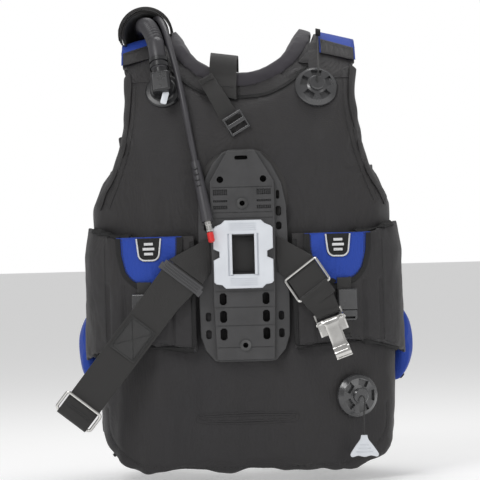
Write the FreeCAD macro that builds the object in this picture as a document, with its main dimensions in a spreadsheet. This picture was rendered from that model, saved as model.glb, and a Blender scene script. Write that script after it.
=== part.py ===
import FreeCAD
import Part
import math
import os
import Sketcher

# Jacket-style diving buoyancy compensator, built up from its sewn, moulded and metal pieces.
# Millimetres. The origin is midway between the two threaded bushings of the backplate, on the
# front face of its raised block. -Y points to the cylinder, +Y to the wearer's chest, +X to the
# wearer's right and +Z up.

Vector = FreeCAD.Vector
Rotation = FreeCAD.Rotation
Placement = FreeCAD.Placement
doc = FreeCAD.newDocument("BuoyancyVest")

SIZES = (
    # torso form
    ("torso_half_width", 215.0), ("torso_half_depth", 130.0), ("torso_middle_y", 150.0),
    ("torso_corner", 95.0), ("wall", 28.0), ("hem_z", -289.0), ("hem_corner", 72.0),
    ("ridge_z", 381.0), ("ridge_slope", 0.25), ("ridge_radius", 90.0), ("back_arc_z", 179.0),
    ("neck_radius", 90.6), ("neck_centre_z", 381.6), ("collar_width", 23.7),
    # backplate
    ("plate_half_width", 65.0), ("plate_top", 178.0), ("plate_bottom", -125.0),
    ("wing_back", 14.0), ("wing_front", 8.0), ("block_half_width", 44.0),
    ("bolt_spacing", 202.0), ("bushing_bore", 3.8), ("bushing_shank", 5.9),
    ("bushing_flange", 7.9), ("bushing_flange_deep", 2.5),
    ("pad_middle", 28.5), ("pad_height", 97.0), ("pad_half_width", 31.0), ("ear_reach", 42.4),
    ("pad_front", 10.0), ("window_half_width", 16.5), ("window_height", 57.0),
    ("hole_offset", 30.7), ("hole_radius", 4.75),
    # webbing and cords
    ("band_width", 50.0), ("band_thick", 2.4), ("belt_width", 38.0), ("thin_belt", 25.0),
    ("buckle_belt", 20.0), ("dump_cord", 2.2), ("low_pressure_hose", 8.8),
    ("breathing_hose", 24.4), ("wire", 4.4), ("ring_wire", 3.8),
    # valves and inflator
    ("valve_radius", 30.7), ("valve_height", 13.0), ("valve_hub", 11.2), ("elbow_flange", 26.0),
    ("inflator_radius", 15.0), ("inflator_length", 96.0), ("button_travel", 3.0),
    ("button_radius", 7.0), ("button_gap", 0.06),
)

sheet = doc.addObject("Spreadsheet::Sheet", "Sizes")
for row, (alias, amount) in enumerate(SIZES, start=1):
    sheet.set("A%d" % row, alias)
    sheet.set("B%d" % row, str(amount))
    sheet.setAlias("B%d" % row, alias)
doc.recompute()


class Size:
    """A length together with the sheet expression that gives it."""

    def __init__(self, value, text):
        self.value = value
        self.text = text

    def join(self, other, sign, value):
        other_text = other.text if isinstance(other, Size) else repr(other)
        return Size(value, "(%s %s %s)" % (self.text, sign, other_text))

    def __add__(self, other):
        return self.join(other, "+", self.value + number(other))

    def __sub__(self, other):
        return self.join(other, "-", self.value - number(other))

    def __mul__(self, other):
        return self.join(other, "*", self.value * number(other))

    def __truediv__(self, other):
        return self.join(other, "/", self.value / number(other))

    def __neg__(self):
        return self * -1


def number(size):
    """The plain value of a Size or a number."""
    return size.value if isinstance(size, Size) else float(size)


S = {alias: Size(float(sheet.get(alias)), "Sizes." + alias) for alias, amount in SIZES}
N = {alias: size.value for alias, size in S.items()}


# ---------------------------------------------------------------- helpers for the document

def bind(thing, name, size):
    """Set a property, and tie it to the sheet when the size comes from there."""
    setattr(thing, name, number(size))
    if isinstance(size, Size):
        thing.setExpression(name, size.text)


def frame_at(origin, x_axis, z_axis):
    """Placement with its origin, local X and local Z given."""
    z_axis = Vector(*z_axis).normalize()
    x_axis = Vector(*x_axis)
    x_axis = (x_axis - z_axis * x_axis.dot(z_axis)).normalize()
    y_axis = z_axis.cross(x_axis)
    matrix = FreeCAD.Matrix(x_axis.x, y_axis.x, z_axis.x, origin[0],
                            x_axis.y, y_axis.y, z_axis.y, origin[1],
                            x_axis.z, y_axis.z, z_axis.z, origin[2], 0, 0, 0, 1)
    return Placement(matrix)


def new_body(label, placement=None):
    made = doc.addObject("PartDesign::Body", label)
    made.Label = label
    if placement:
        made.Placement = placement
    return made


def new_sketch(owner, role, lift=0.0):
    """A sketch on one of the body's own origin planes, raised along that plane's normal."""
    plane = [each for each in owner.Origin.OriginFeatures if each.Role == role][0]
    drawn = owner.newObject("Sketcher::SketchObject", owner.Name + "_sketch")
    drawn.AttachmentSupport = [(plane, "")]
    drawn.MapMode = "FlatFace"
    drawn.AttachmentOffset = Placement(Vector(0, 0, number(lift)), Rotation())
    if isinstance(lift, Size):
        drawn.setExpression("AttachmentOffset.Base.z", lift.text)
    return drawn


def locate(drawn, shape, point, x, y):
    """Dimension one point of a sketch from the sketch's origin."""
    for kind, size in (("DistanceX", x), ("DistanceY", y)):
        index = drawn.addConstraint(Sketcher.Constraint(kind, -1, 1, shape, point, number(size)))
        if isinstance(size, Size):
            drawn.setExpression("Constraints[%d]" % index, size.text)


def polygon(drawn, points):
    corners = [Vector(number(x), number(y), 0) for x, y in points]
    first = drawn.GeometryCount
    count = len(corners)
    for index in range(count):
        drawn.addGeometry(Part.LineSegment(corners[index], corners[(index + 1) % count]))
    for index in range(count):
        following = first + (index + 1) % count
        drawn.addConstraint(Sketcher.Constraint("Coincident", first + index, 2, following, 1))
    for index, (x, y) in enumerate(points):
        locate(drawn, first + index, 1, x, y)


def rectangle(drawn, x_low, x_high, y_low, y_high):
    polygon(drawn, ((x_low, y_low), (x_high, y_low), (x_high, y_high), (x_low, y_high)))


def circle(drawn, x, y, radius):
    middle = Vector(number(x), number(y), 0)
    shape = drawn.addGeometry(Part.Circle(middle, Vector(0, 0, 1), number(radius)))
    locate(drawn, shape, 3, x, y)
    index = drawn.addConstraint(Sketcher.Constraint("Radius", shape, number(radius)))
    if isinstance(radius, Size):
        drawn.setExpression("Constraints[%d]" % index, radius.text)


def oblong(drawn, x, y, half_width, half_height):
    """An eight-sided slot outline, its corners cut off."""
    cut = min(half_width, half_height) * 0.55
    polygon(drawn, ((x - half_width + cut, y - half_height), (x + half_width - cut, y - half_height),
                    (x + half_width, y - half_height + cut), (x + half_width, y + half_height - cut),
                    (x + half_width - cut, y + half_height), (x - half_width + cut, y + half_height),
                    (x - half_width, y + half_height - cut), (x - half_width, y - half_height + cut)))


def pad(owner, drawn, length, both_ways=False):
    made = owner.newObject("PartDesign::Pad", owner.Name + "_pad")
    made.Profile = drawn
    bind(made, "Length", length)
    made.Midplane = both_ways
    return made


def pocket(owner, drawn, depth=None, reverse=False, both_ways=False):
    made = owner.newObject("PartDesign::Pocket", owner.Name + "_pocket")
    made.Profile = drawn
    if depth is None:
        made.Type = "ThroughAll"
    else:
        bind(made, "Length", depth)
    made.Reversed = reverse
    made.Midplane = both_ways
    return made


def revolve(owner, drawn, cut=False):
    """A full turn about the sketch's upright axis, as a solid or as a groove."""
    kind = "PartDesign::Groove" if cut else "PartDesign::Revolution"
    made = owner.newObject(kind, owner.Name + "_turn")
    made.Profile = drawn
    made.ReferenceAxis = (drawn, ["V_Axis"])
    made.Angle = 360
    return made


def soften(owner, feature, radius, chosen):
    """Fillet the edges of a feature that pass the test."""
    doc.recompute()
    names = ["Edge%d" % (index + 1) for index, edge in enumerate(feature.Shape.Edges) if chosen(edge)]
    made = owner.newObject("PartDesign::Fillet", owner.Name + "_fillet")
    made.Base = (feature, names)
    bind(made, "Radius", radius)
    return made


def turned(label, profile, placement):
    """A body of revolution: the profile's points are (radius, height) about local Z."""
    made = new_body(label, placement)
    drawn = new_sketch(made, "XZ_Plane")
    polygon(drawn, profile)
    revolve(made, drawn)
    return made


def feature(label, shape, placement=None):
    made = doc.addObject("Part::Feature", label)
    made.Label = label
    made.Shape = shape
    if placement:
        made.Placement = placement
    return made


def cylinder(label, radius, height, placement):
    made = doc.addObject("Part::Cylinder", label)
    bind(made, "Radius", radius)
    bind(made, "Height", height)
    made.Placement = placement
    return made


def block(label, width, depth, height, placement):
    """A box centred on its placement's X and Y, rising along its Z."""
    made = doc.addObject("Part::Box", label)
    bind(made, "Length", width)
    bind(made, "Width", depth)
    bind(made, "Height", height)
    shift = Placement(Vector(-number(width) / 2, -number(depth) / 2, 0), Rotation())
    made.Placement = placement.multiply(shift)
    return made


def joined(kind, label, members):
    """A boolean of other document objects: fuse, cut or compound."""
    if kind == "cut":
        made = doc.addObject("Part::Cut", label)
        made.Base, made.Tool = members
    elif kind == "fuse":
        made = doc.addObject("Part::MultiFuse", label)
        made.Shapes = members
    else:
        made = doc.addObject("Part::Compound", label)
        made.Links = members
    made.Label = label
    return made


# ---------------------------------------------------------------- the torso form

TALL = 520.0
LOW = -420.0


def plan_prism(grow):
    """Rounded rectangle of the torso seen from above, drawn out upwards."""
    half_x = N["torso_half_width"] + grow
    half_y = N["torso_half_depth"] + grow
    corner = N["torso_corner"] + grow
    middle = N["torso_middle_y"]
    slab = Part.makeBox(2 * half_x, 2 * half_y, 2 * TALL, Vector(-half_x, middle - half_y, LOW))
    uprights = [edge for edge in slab.Edges if abs(edge.Length - 2 * TALL) < 1e-6]
    return slab.makeFillet(corner, uprights)


def side_outline(grow):
    """Torso seen from the side: straight back, two tangent arcs each way to the shoulder ridge."""
    middle = N["torso_middle_y"]
    depth = N["torso_half_depth"]
    small = N["ridge_radius"]
    rise = N["ridge_z"] - N["back_arc_z"]
    top_z = N["ridge_z"] - small
    # the large arc is tangent to the straight back and to the small ridge arc
    drop = rise - small
    large = (depth ** 2 + drop ** 2 - small ** 2) / (2 * (depth - small))
    turn = math.atan2(drop, large - depth)
    points = []
    for side in (-1, 1):
        large_y = middle - side * (large - depth)
        low = Vector(0, middle + side * (depth + grow), N["back_arc_z"])
        bend = (large + grow)
        mid = Vector(0, large_y + side * bend * math.cos(turn / 2), low.z + bend * math.sin(turn / 2))
        high = Vector(0, large_y + side * bend * math.cos(turn), low.z + bend * math.sin(turn))
        half_turn = (turn + math.pi / 2) / 2
        near = Vector(0, middle + side * (small + grow) * math.cos(half_turn),
                      top_z + (small + grow) * math.sin(half_turn))
        points.append((low, mid, high, near))
    top = Vector(0, middle, N["ridge_z"] + grow)
    (back_low, back_mid, back_high, back_near), (low, mid, high, near) = points
    back_foot = Vector(0, back_low.y, LOW - 60)
    foot = Vector(0, low.y, LOW - 60)
    edges = [Part.LineSegment(back_foot, back_low), Part.Arc(back_low, back_mid, back_high),
             Part.Arc(back_high, back_near, top), Part.Arc(top, near, high),
             Part.Arc(high, mid, low), Part.LineSegment(low, foot),
             Part.LineSegment(foot, back_foot)]
    return Part.Face(Part.Wire([edge.toShape() for edge in edges]))


def torso(grow):
    """The torso form, everywhere moved out by the same amount; the shoulders slope down."""
    outline = side_outline(grow)
    reach = 260.0
    fall = -reach * N["ridge_slope"]
    halves = [outline.extrude(Vector(side * reach, 0, fall)) for side in (-1, 1)]
    plan = plan_prism(grow)
    return [plan.common(half) for half in halves]


def shell(inner, outer):
    """Two halves, left and right, of the layer between two offsets of the torso form."""
    return [big.cut(small) for big, small in zip(torso(outer), torso(inner))]


def slab(x_low, x_high, y_low, y_high, z_low, z_high):
    return Part.makeBox(x_high - x_low, y_high - y_low, z_high - z_low, Vector(x_low, y_low, z_low))


def prism(edges, y_low, y_high):
    """A closed outline in X and Z, drawn out from y_low to y_high."""
    wire = Part.Wire([edge.toShape() for edge in edges])
    wire.translate(Vector(0, y_low, 0))
    return Part.Face(wire).extrude(Vector(0, y_high - y_low, 0))


def chain(points):
    """Straight edges through (x, z) points, closed."""
    corners = [Vector(x, 0, z) for x, z in points]
    return [Part.LineSegment(corners[index - 1], corners[index]) for index in range(len(corners))]


def flip(shape):
    """The same shape on the other side of the wearer."""
    return shape.mirror(Vector(0, 0, 0), Vector(1, 0, 0))


def whole(halves):
    """One solid out of a left and a right half that share a face."""
    return halves[0].fuse(halves[1]).removeSplitter()


FRONT = N["torso_middle_y"] + N["torso_half_depth"]
BACK = N["torso_middle_y"] - N["torso_half_depth"]
MIDDLE = N["torso_middle_y"]
SEAM = 0.3
ARMPIT_Z = 96.0
YOKE_Z = 300.0

# armhole: two arcs down the edge of the shoulder to the armpit
armhole_edges = [Part.Arc(Vector(176, 0, 345), Vector(169.5, 0, 290), Vector(172, 0, 235)),
                 Part.Arc(Vector(172, 0, 235), Vector(183, 0, 176), Vector(206, 0, 118)),
                 Part.LineSegment(Vector(206, 0, 118), Vector(218, 0, ARMPIT_Z)),
                 Part.LineSegment(Vector(218, 0, ARMPIT_Z), Vector(300, 0, ARMPIT_Z)),
                 Part.LineSegment(Vector(300, 0, ARMPIT_Z), Vector(300, 0, 460)),
                 Part.LineSegment(Vector(300, 0, 460), Vector(182, 0, 460)),
                 Part.LineSegment(Vector(182, 0, 460), Vector(176, 0, 345))]
armhole = prism(armhole_edges, -60, 400)
neck_axis = Vector(0, -60, N["neck_centre_z"])
neck_opening = Part.makeCylinder(N["neck_radius"], 460, neck_axis, Vector(0, 1, 0))
collar_opening = Part.makeCylinder(N["neck_radius"] + N["collar_width"], 460, neck_axis,
                                   Vector(0, 1, 0))

vest = shell(-N["wall"], 0)
vest_right = vest[1].cut(armhole).cut(collar_opening)

hem = slab(-N["torso_half_width"] - 1, N["torso_half_width"] + 1, -60, 400, N["hem_z"], YOKE_Z)
hem_edges = [edge for edge in hem.Edges if abs(edge.BoundBox.ZLength) < 1e-6
             and abs(edge.BoundBox.YLength - 460) < 1e-6 and edge.BoundBox.ZMin < 0]
hem = hem.makeFillet(N["hem_corner"], hem_edges)

# back bladder, from the hem to the shoulder seam and round to the middle of each flank
back_half = vest_right.common(hem).common(slab(0, 300, -60, MIDDLE, N["hem_z"], YOKE_Z))
feature("back_panel", whole([back_half, flip(back_half)]))

# front lobes: from the flank seam to the open front edge, top edge rising to the strap
lobe_edges = chain(((50, -150), (74, -168), (300, -168), (300, 84), (176, 96), (150, 128),
                    (92, 128), (62, 84), (50, 20)))
lobe = vest_right.common(prism(lobe_edges, MIDDLE + SEAM, 400))
feature("right_front_lobe", lobe)
feature("left_front_lobe", flip(lobe))

# padded shoulders: over the ridge from the back seam to a squared end on the chest
yoke_edges = chain(((80, 226), (200, 226), (200, 460), (80, 460)))
yoke_front = vest_right.common(prism(yoke_edges, MIDDLE, 400))
yoke_back = vest_right.common(slab(0, 300, -60, MIDDLE, YOKE_Z, 460))
yoke = yoke_front.fuse(yoke_back).removeSplitter()
feature("right_shoulder", yoke)
feature("left_shoulder", flip(yoke))

# rolled collar along the neck edge, from ridge to ridge and a little way down the front
collar_layer = shell(-N["wall"] - 3, 3)[1]
collar_band = collar_opening.cut(neck_opening)
collar_half = collar_layer.common(collar_band).common(slab(0, 300, -60, MIDDLE + 40, 240, 372))
feature("neck_collar", whole([collar_half, flip(collar_half)]))

# soft back pad against the wearer, inside the bladder
lining = shell(-40, -N["wall"] - SEAM)
pad_edges = chain(((0, -190), (92, -190), (118, -150), (118, 60), (84, 200), (58, 236), (0, 236)))
pad_half = lining[1].common(prism(pad_edges, -60, MIDDLE))
feature("back_pad", whole([pad_half, flip(pad_half)]))

# elastic waist wrap inside the lobes, its two halves closed on each other at the front
wrap_layer = shell(-33, -N["wall"] - SEAM)[1]
wrap_edges = chain(((0.2, -66), (300, -66), (300, 44), (0.2, 44)))
wrap = wrap_layer.common(prism(wrap_edges, -60, 400)).cut(slab(-1, 119, -60, MIDDLE, -300, 300))
feature("cummerbund", Part.makeCompound([wrap, flip(wrap)]))

# ballast pockets on the flanks, at the back
pocket_layer = shell(SEAM, 16)[1]
ballast_edges = chain(((67, -112), (150, -101), (196, -108), (240, -128), (240, 78), (180, 60),
                       (67, 60)))
ballast = pocket_layer.common(prism(ballast_edges, -60, 118))
feature("weight_pockets", Part.makeCompound([ballast, flip(ballast)]))

# coloured flaps over the pocket mouths, a long U in outline
flap_layer = shell(16 + SEAM, 19.6)[1]
FLAP_X = 134.5
flap_edges = [Part.LineSegment(Vector(FLAP_X - 47, 0, 8), Vector(FLAP_X - 47, 0, 56)),
              Part.LineSegment(Vector(FLAP_X - 47, 0, 56), Vector(FLAP_X + 47, 0, 56)),
              Part.LineSegment(Vector(FLAP_X + 47, 0, 56), Vector(FLAP_X + 47, 0, 8)),
              Part.Arc(Vector(FLAP_X + 47, 0, 8), Vector(FLAP_X + 40, 0, -9), Vector(FLAP_X + 22, 0, -16)),
              Part.LineSegment(Vector(FLAP_X + 22, 0, -16), Vector(FLAP_X - 22, 0, -16)),
              Part.Arc(Vector(FLAP_X - 22, 0, -16), Vector(FLAP_X - 40, 0, -9), Vector(FLAP_X - 47, 0, 8))]
flap = flap_layer.common(prism(flap_edges, -60, MIDDLE))
feature("pocket_flaps", Part.makeCompound([flap, flip(flap)]))

# bellows pouches on the flanks, in the accent colour
pouch_layer = shell(SEAM, 29)[1]
pouch = pouch_layer.common(slab(150, 300, 119, 214, -164, -46))
feature("side_pouches", Part.makeCompound([pouch, flip(pouch)]))

# zipped pockets on the front lobes
cargo_layer = shell(SEAM, 24)[1]
cargo = cargo_layer.common(slab(66, 186, 200, 400, -156, -14))
feature("cargo_pockets", Part.makeCompound([cargo, flip(cargo)]))

# coloured facing over the top of each shoulder
facing_layer = shell(SEAM, 2.2)[1]
facing_edges = chain(((118, 318), (170, 306), (170, 460), (118, 460)))
facing = facing_layer.common(prism(facing_edges, -60, MIDDLE + 30))
feature("shoulder_patches", Part.makeCompound([facing, flip(facing)]))


# ---------------------------------------------------------------- backplate and tank pad

REAR = frame_at((0, 0, 0), (1, 0, 0), (0, -1, 0))

plate = new_body("backplate", REAR)
half = S["plate_half_width"]
wing = new_sketch(plate, "XY_Plane", -S["wing_back"])
right_edge = ((37, S["plate_bottom"]), (44, S["plate_bottom"] + 2), (57, -108), (64, -88), (half, -40),
              (half - 1, 56), (62.5, 99), (56.5, 129), (43, 156), (27, S["plate_top"] - 4),
              (17, S["plate_top"]))
polygon(wing, right_edge + tuple((-x, z) for x, z in reversed(right_edge)))
wing_pad = pad(plate, wing, S["wing_back"] - S["wing_front"])
soften(plate, wing_pad, 2.0, lambda edge: abs(edge.BoundBox.ZMin + N["wing_front"]) < 1e-4
       and edge.BoundBox.ZLength < 1e-4)
raised = new_sketch(plate, "XY_Plane", -S["wing_front"])
lean = S["block_half_width"]
block_edge = ((lean - 3, S["plate_bottom"] + 3), (lean, -40), (lean + 2, 60), (lean + 2, 132),
              (20, S["plate_top"] - 2))
polygon(raised, block_edge + tuple((-x, z) for x, z in reversed(block_edge)))
raised_pad = pad(plate, raised, S["wing_front"])
soften(plate, raised_pad, 1.6, lambda edge: abs(edge.BoundBox.ZMax) < 1e-4
       and edge.BoundBox.ZLength < 1e-4)
tunnel = new_sketch(plate, "YZ_Plane")
band_low = S["pad_middle"] - S["band_width"] / 2 - 1.5
band_high = S["pad_middle"] + S["band_width"] / 2 + 1.5
rectangle(tunnel, band_low, band_high, -8.4, -4.2)
pocket(plate, tunnel, both_ways=True)
openings = new_sketch(plate, "XY_Plane")
for side in (-1, 1):
    circle(openings, S["hole_offset"] * side, 135.2, S["hole_radius"])
    for z in (-35, -60, -85):
        oblong(openings, 30.5 * side, z, 5.0, 8.5)
    for x, z, half_wide, half_tall in ((52, -60, 4.0, 6.5), (52, -85, 4.0, 6.5), (51.5, 68, 4.0, 5.6),
                                       (51.5, 89, 4.0, 7.0), (51, 112.5, 2.4, 6.2)):
        oblong(openings, x * side, z, half_wide, half_tall)
oblong(openings, 0, 166, 9.3, 2.9)
pocket(plate, openings)
bushing_holes = new_sketch(plate, "XY_Plane")
for side in (-1, 1):
    circle(bushing_holes, 0, S["bolt_spacing"] * side / 2, S["bushing_shank"])
pocket(plate, bushing_holes)
behind_pad = new_sketch(plate, "XY_Plane")
rectangle(behind_pad, -S["window_half_width"], S["window_half_width"],
          S["pad_middle"] - S["window_height"] / 2, S["pad_middle"] + S["window_height"] / 2)
pocket(plate, behind_pad, 4.3)
grooves = new_sketch(plate, "XY_Plane")
for z in (124, 88, 80, -24, -47, -73, -104):
    rectangle(grooves, -43, 43, z - 0.7, z + 0.7)
pocket(plate, grooves, 1.0)
louvres = new_sketch(plate, "XY_Plane")
for side in (-1, 1):
    for low, high in ((113, 121), (103, 106), (93, 98)):
        rectangle(louvres, 31 * side - 10, 31 * side + 10, low, high)
pocket(plate, louvres, 3.0)

# threaded bushings: a flange on the front of the block, a shank through it, a bored middle
bushings = []
for name, z in (("upper_bushing", 1), ("lower_bushing", -1)):
    place = frame_at((0, 0, z * N["bolt_spacing"] / 2), (1, 0, 0), (0, -1, 0))
    shank_place = place.multiply(Placement(Vector(0, 0, -N["wing_back"]), Rotation()))
    flange = cylinder(name + "_flange", S["bushing_flange"], S["bushing_flange_deep"], place)
    shank = cylinder(name + "_shank", S["bushing_shank"], S["wing_back"] + 1, shank_place)
    bore = cylinder(name + "_bore", S["bushing_bore"], 40,
                    place.multiply(Placement(Vector(0, 0, -20), Rotation())))
    bushings.append(joined("cut", name, (joined("fuse", name + "_solid", [flange, shank]), bore)))
joined("compound", "plate_bushings", bushings)

tank_pad = new_body("tank_pad", REAR)
outline = new_sketch(tank_pad, "XY_Plane", 0.2)
mid = S["pad_middle"]
body_half = S["pad_half_width"]
ear = S["ear_reach"]
top_half = S["pad_height"] / 2
right_edge = ((body_half - 5, mid - top_half), (body_half, mid - top_half + 5), (ear - 3, mid - 42),
              (ear, mid - 39), (ear, mid - 8), (body_half + 3, mid - 4), (body_half + 3, mid + 4),
              (ear, mid + 8), (ear, mid + 37), (ear - 3, mid + 40), (body_half, mid + top_half - 5),
              (body_half - 5, mid + top_half))
polygon(outline, right_edge + tuple((-x, z) for x, z in reversed(right_edge)))
pad_solid = pad(tank_pad, outline, S["pad_front"])
soften(tank_pad, pad_solid, 1.8, lambda edge: edge.BoundBox.ZMin > N["pad_front"] and
       edge.BoundBox.ZLength < 1e-4)
window = new_sketch(tank_pad, "XY_Plane", 20)
rectangle(window, -S["window_half_width"], S["window_half_width"], mid - S["window_height"] / 2,
          mid + S["window_height"] / 2)
pocket(tank_pad, window)
recess = new_sketch(tank_pad, "XY_Plane", S["pad_front"] + 0.2)
rectangle(recess, -S["window_half_width"] - 5.5, S["window_half_width"] + 5.5,
          mid - S["window_height"] / 2 - 2, mid + S["window_height"] / 2 + 1)
pocket(tank_pad, recess, 2.2)
ribs = new_sketch(tank_pad, "XY_Plane", S["pad_front"] + 0.2)
for end in (-1, 1):
    for step in range(4):
        z = mid + end * (34.5 + 3.0 * step)
        rectangle(ribs, -19, 19, z - 0.6, z + 0.6)
pocket(tank_pad, ribs, 0.9)

# ---------------------------------------------------------------- webbing

def strap(sections, thick):
    """Flat webbing through (one edge, other edge, thickness direction) sections."""
    wires = []
    for one, other, normal in sections:
        one, other = Vector(*one), Vector(*other)
        up = Vector(*normal).normalize() * thick
        wires.append(Part.makePolygon([one, other, other + up, one + up, one]))
    return Part.makeLoft(wires, True, True)


def rounded_path(points, share=0.45, closed=False):
    """Straight runs joined by tangent arcs as large as the two runs allow; gives the least radius."""
    points = [Vector(*point) for point in points]
    edges = []
    least = 1e9
    count = len(points)
    corners = range(count) if closed else range(1, count - 1)
    reached = None if closed else points[0]
    first_start = None
    for index in corners:
        here = points[index]
        back = points[index - 1] - here
        ahead = points[(index + 1) % count] - here
        reach = share * min(back.Length, ahead.Length)
        turn = math.pi - back.getAngle(ahead)
        least = min(least, reach / math.tan(turn / 2))
        start = here + back.normalize() * reach
        end = here + ahead.normalize() * reach
        inward = (back + ahead).normalize()
        radius = reach / math.tan(turn / 2)
        through = here + inward * (radius / math.cos(turn / 2) - radius)
        if reached is None:
            first_start = start
        else:
            edges.append(Part.makeLine(reached, start))
        edges.append(Part.Arc(start, through, end).toShape())
        reached = end
    edges.append(Part.makeLine(reached, first_start if closed else points[-1]))
    return Part.Wire(edges), least


def tube(points, radius, closed=False, share=0.45, name=None):
    """A round tube along the rounded path."""
    path, least = rounded_path(points, share, closed)
    first = path.Edges[0]
    start = first.valueAt(first.FirstParameter)
    section = Part.Wire([Part.makeCircle(radius, start, first.tangentAt(first.FirstParameter))])
    solid = path.makePipeShell([section], True, False)
    if name:
        whole_volume = math.pi * radius ** 2 * path.Length
        print("%s: length %.0f, least radius %.0f = %.1f diameters, volume ratio %.4f" % (
            name, path.Length, least, least / (2 * radius), solid.Volume / whole_volume))
    return solid


def rounded_wire_ring(half_width, length, radius, corner, placement):
    """A closed rectangular wire ring: one bar on local X, the other a length up local Y."""
    loop = ((-half_width, 0, 0), (half_width, 0, 0), (half_width, length, 0), (-half_width, length, 0))
    solid = tube(loop, radius, closed=True, share=corner / min(2 * half_width, length))
    solid.Placement = placement
    return solid


def sleeve_along(origin, axis, outer, bore, half_length):
    """A webbing loop round a bar: a tube centred on the origin along the axis."""
    axis = Vector(*axis).normalize()
    start = Vector(*origin) - axis * half_length
    return Part.makeCylinder(outer, 2 * half_length, start, axis).cut(
        Part.makeCylinder(bore, 2 * half_length, start, axis))


BAND_Y = 5.0
BAND_LOW = N["pad_middle"] - N["band_width"] / 2
BAND_HIGH = N["pad_middle"] + N["band_width"] / 2
BAND = N["band_thick"]
block("band_centre", 92, S["band_width"], S["band_thick"],
      frame_at((0, BAND_Y + BAND, N["pad_middle"]), (1, 0, 0), (0, -1, 0)))

# left half of the band: from the tunnel to the keeper, then doubled down to the end loop
LEFT_END = Vector(-248.3, -9.2, -199.6)
left_frame = frame_at(LEFT_END, (0.784, 0, -0.621), (0, -1, 0))
KEEPER_AT = 254.0
WIRE = N["wire"] / 2
CLEAR = 0.06


def on_left(x, y, z):
    return left_frame.multVec(Vector(x, y, z))


upper_left = strap((((-47.4, BAND_Y, BAND_HIGH), (-47.4, BAND_Y, BAND_LOW), (0, 1, 0)),
                    ((-52, BAND_Y, BAND_HIGH - 2), (-51, BAND_Y, BAND_LOW - 4), (0, 1, 0)),
                    (on_left(-27, KEEPER_AT + 9, 1.2), on_left(32, KEEPER_AT + 9, 1.2), (0, 1, 0))), BAND)
lower_left = strap(((on_left(-27, KEEPER_AT + 9, BAND), on_left(32, KEEPER_AT + 9, BAND), (0, 1, 0)),
                    (on_left(-26, 215, BAND), on_left(27, 215, BAND), (0, 1, 0)),
                    (on_left(-25, 3.2, BAND), on_left(25, 3.2, BAND), (0, 1, 0))), 2 * BAND)
end_loop = sleeve_along(LEFT_END, left_frame.Rotation.multVec(Vector(1, 0, 0)), WIRE + 2.4,
                        WIRE + CLEAR, N["band_width"] / 2)
loop_bore = Part.makeCylinder(WIRE + CLEAR, 80, on_left(-40, 0, 0),
                              left_frame.Rotation.multVec(Vector(1, 0, 0)))
feature("left_band", upper_left.fuse(lower_left).fuse(end_loop).cut(loop_bore).removeSplitter())

keeper_frame = left_frame.multiply(Placement(Vector(3, KEEPER_AT, 0), Rotation()))
keeper = new_body("strap_keeper", keeper_frame)
keeper_outline = new_sketch(keeper, "XZ_Plane")
rectangle(keeper_outline, -35, 35, -4.4, 4.4)
rectangle(keeper_outline, -30.8, 30.8, -3.0, 3.0)
keeper_pad = pad(keeper, keeper_outline, 9, both_ways=True)
soften(keeper, keeper_pad, 1.2, lambda edge: abs(abs(edge.BoundBox.Center.x) - 35) < 1e-4
       and edge.BoundBox.XLength < 1e-4)

bail_frame = left_frame.multiply(Placement(Vector(), Rotation(Vector(1, 0, 0), 11)))
feature("band_bail", rounded_wire_ring(29.5, 29, WIRE, 4.2, bail_frame))

# right half of the band: to the wire ring, which carries the cam buckle on its own short strap
RING_TOP = Vector(79.6, -9.0, 5.4)
RING_AXIS = Vector(0.773, -0.259, 0.580).normalize()
RING_DOWN = Vector(0.522, -0.259, -0.813).normalize()
RING_LENGTH = 38.0
RING_BOTTOM = RING_TOP + RING_DOWN * RING_LENGTH
RING_WIRE = N["ring_wire"] / 2
ring_frame = frame_at(RING_TOP, RING_AXIS, RING_AXIS.cross(RING_DOWN))


def on_ring(x, y, z):
    return ring_frame.multVec(Vector(x, y, z))


INTO = RING_AXIS.cross(RING_DOWN)
HALF_BAND = N["band_width"] / 2
upper_right = strap((((47.4, BAND_Y, BAND_LOW), (47.4, BAND_Y, BAND_HIGH), (0, 1, 0)),
                     ((51, BAND_Y, BAND_LOW - 3), (52, BAND_Y, BAND_HIGH - 2), (0, 1, 0)),
                     (on_ring(-HALF_BAND, -2.6, -1.2), on_ring(HALF_BAND, -2.6, -1.2), INTO)), BAND)
ring_loop = sleeve_along(RING_TOP, RING_AXIS, RING_WIRE + 2.3, RING_WIRE + CLEAR, HALF_BAND)
ring_bore = Part.makeCylinder(RING_WIRE + CLEAR, 90, RING_TOP - RING_AXIS * 45, RING_AXIS)
feature("right_band", upper_right.fuse(ring_loop).cut(ring_bore).removeSplitter())
feature("band_ring", rounded_wire_ring(28.2, RING_LENGTH, RING_WIRE, 3.0, ring_frame))

CAM_TOP = Vector(116.9, -20.0, -57.6)
CAM_AXIS = Vector(0.94, 0, 0.34).normalize()
cam_frame = frame_at(CAM_TOP, CAM_AXIS, (0, -1, 0))


def on_cam(x, y, z):
    return cam_frame.multVec(Vector(x, y, z))


cam_web = strap(((on_ring(-HALF_BAND + 1, RING_LENGTH + 2.6, -1.2),
                  on_ring(HALF_BAND - 1, RING_LENGTH + 2.6, -1.2), INTO),
                 (on_cam(-18, 3.4, 1.2), on_cam(18, 3.4, 1.2), (0, 1, 0))), BAND)
cam_loop = sleeve_along(RING_BOTTOM, RING_AXIS, RING_WIRE + 2.3, RING_WIRE + CLEAR, HALF_BAND - 1)
cam_bore = Part.makeCylinder(RING_WIRE + CLEAR, 90, RING_BOTTOM - RING_AXIS * 45, RING_AXIS)
lower_loop = sleeve_along(CAM_TOP, CAM_AXIS, 4.4, 2.3, 18)
bar_bore = Part.makeCylinder(2.3, 60, CAM_TOP - CAM_AXIS * 30, CAM_AXIS)
feature("cam_strap", cam_web.fuse(cam_loop).fuse(lower_loop).cut(cam_bore).cut(bar_bore)
        .removeSplitter())

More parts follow.
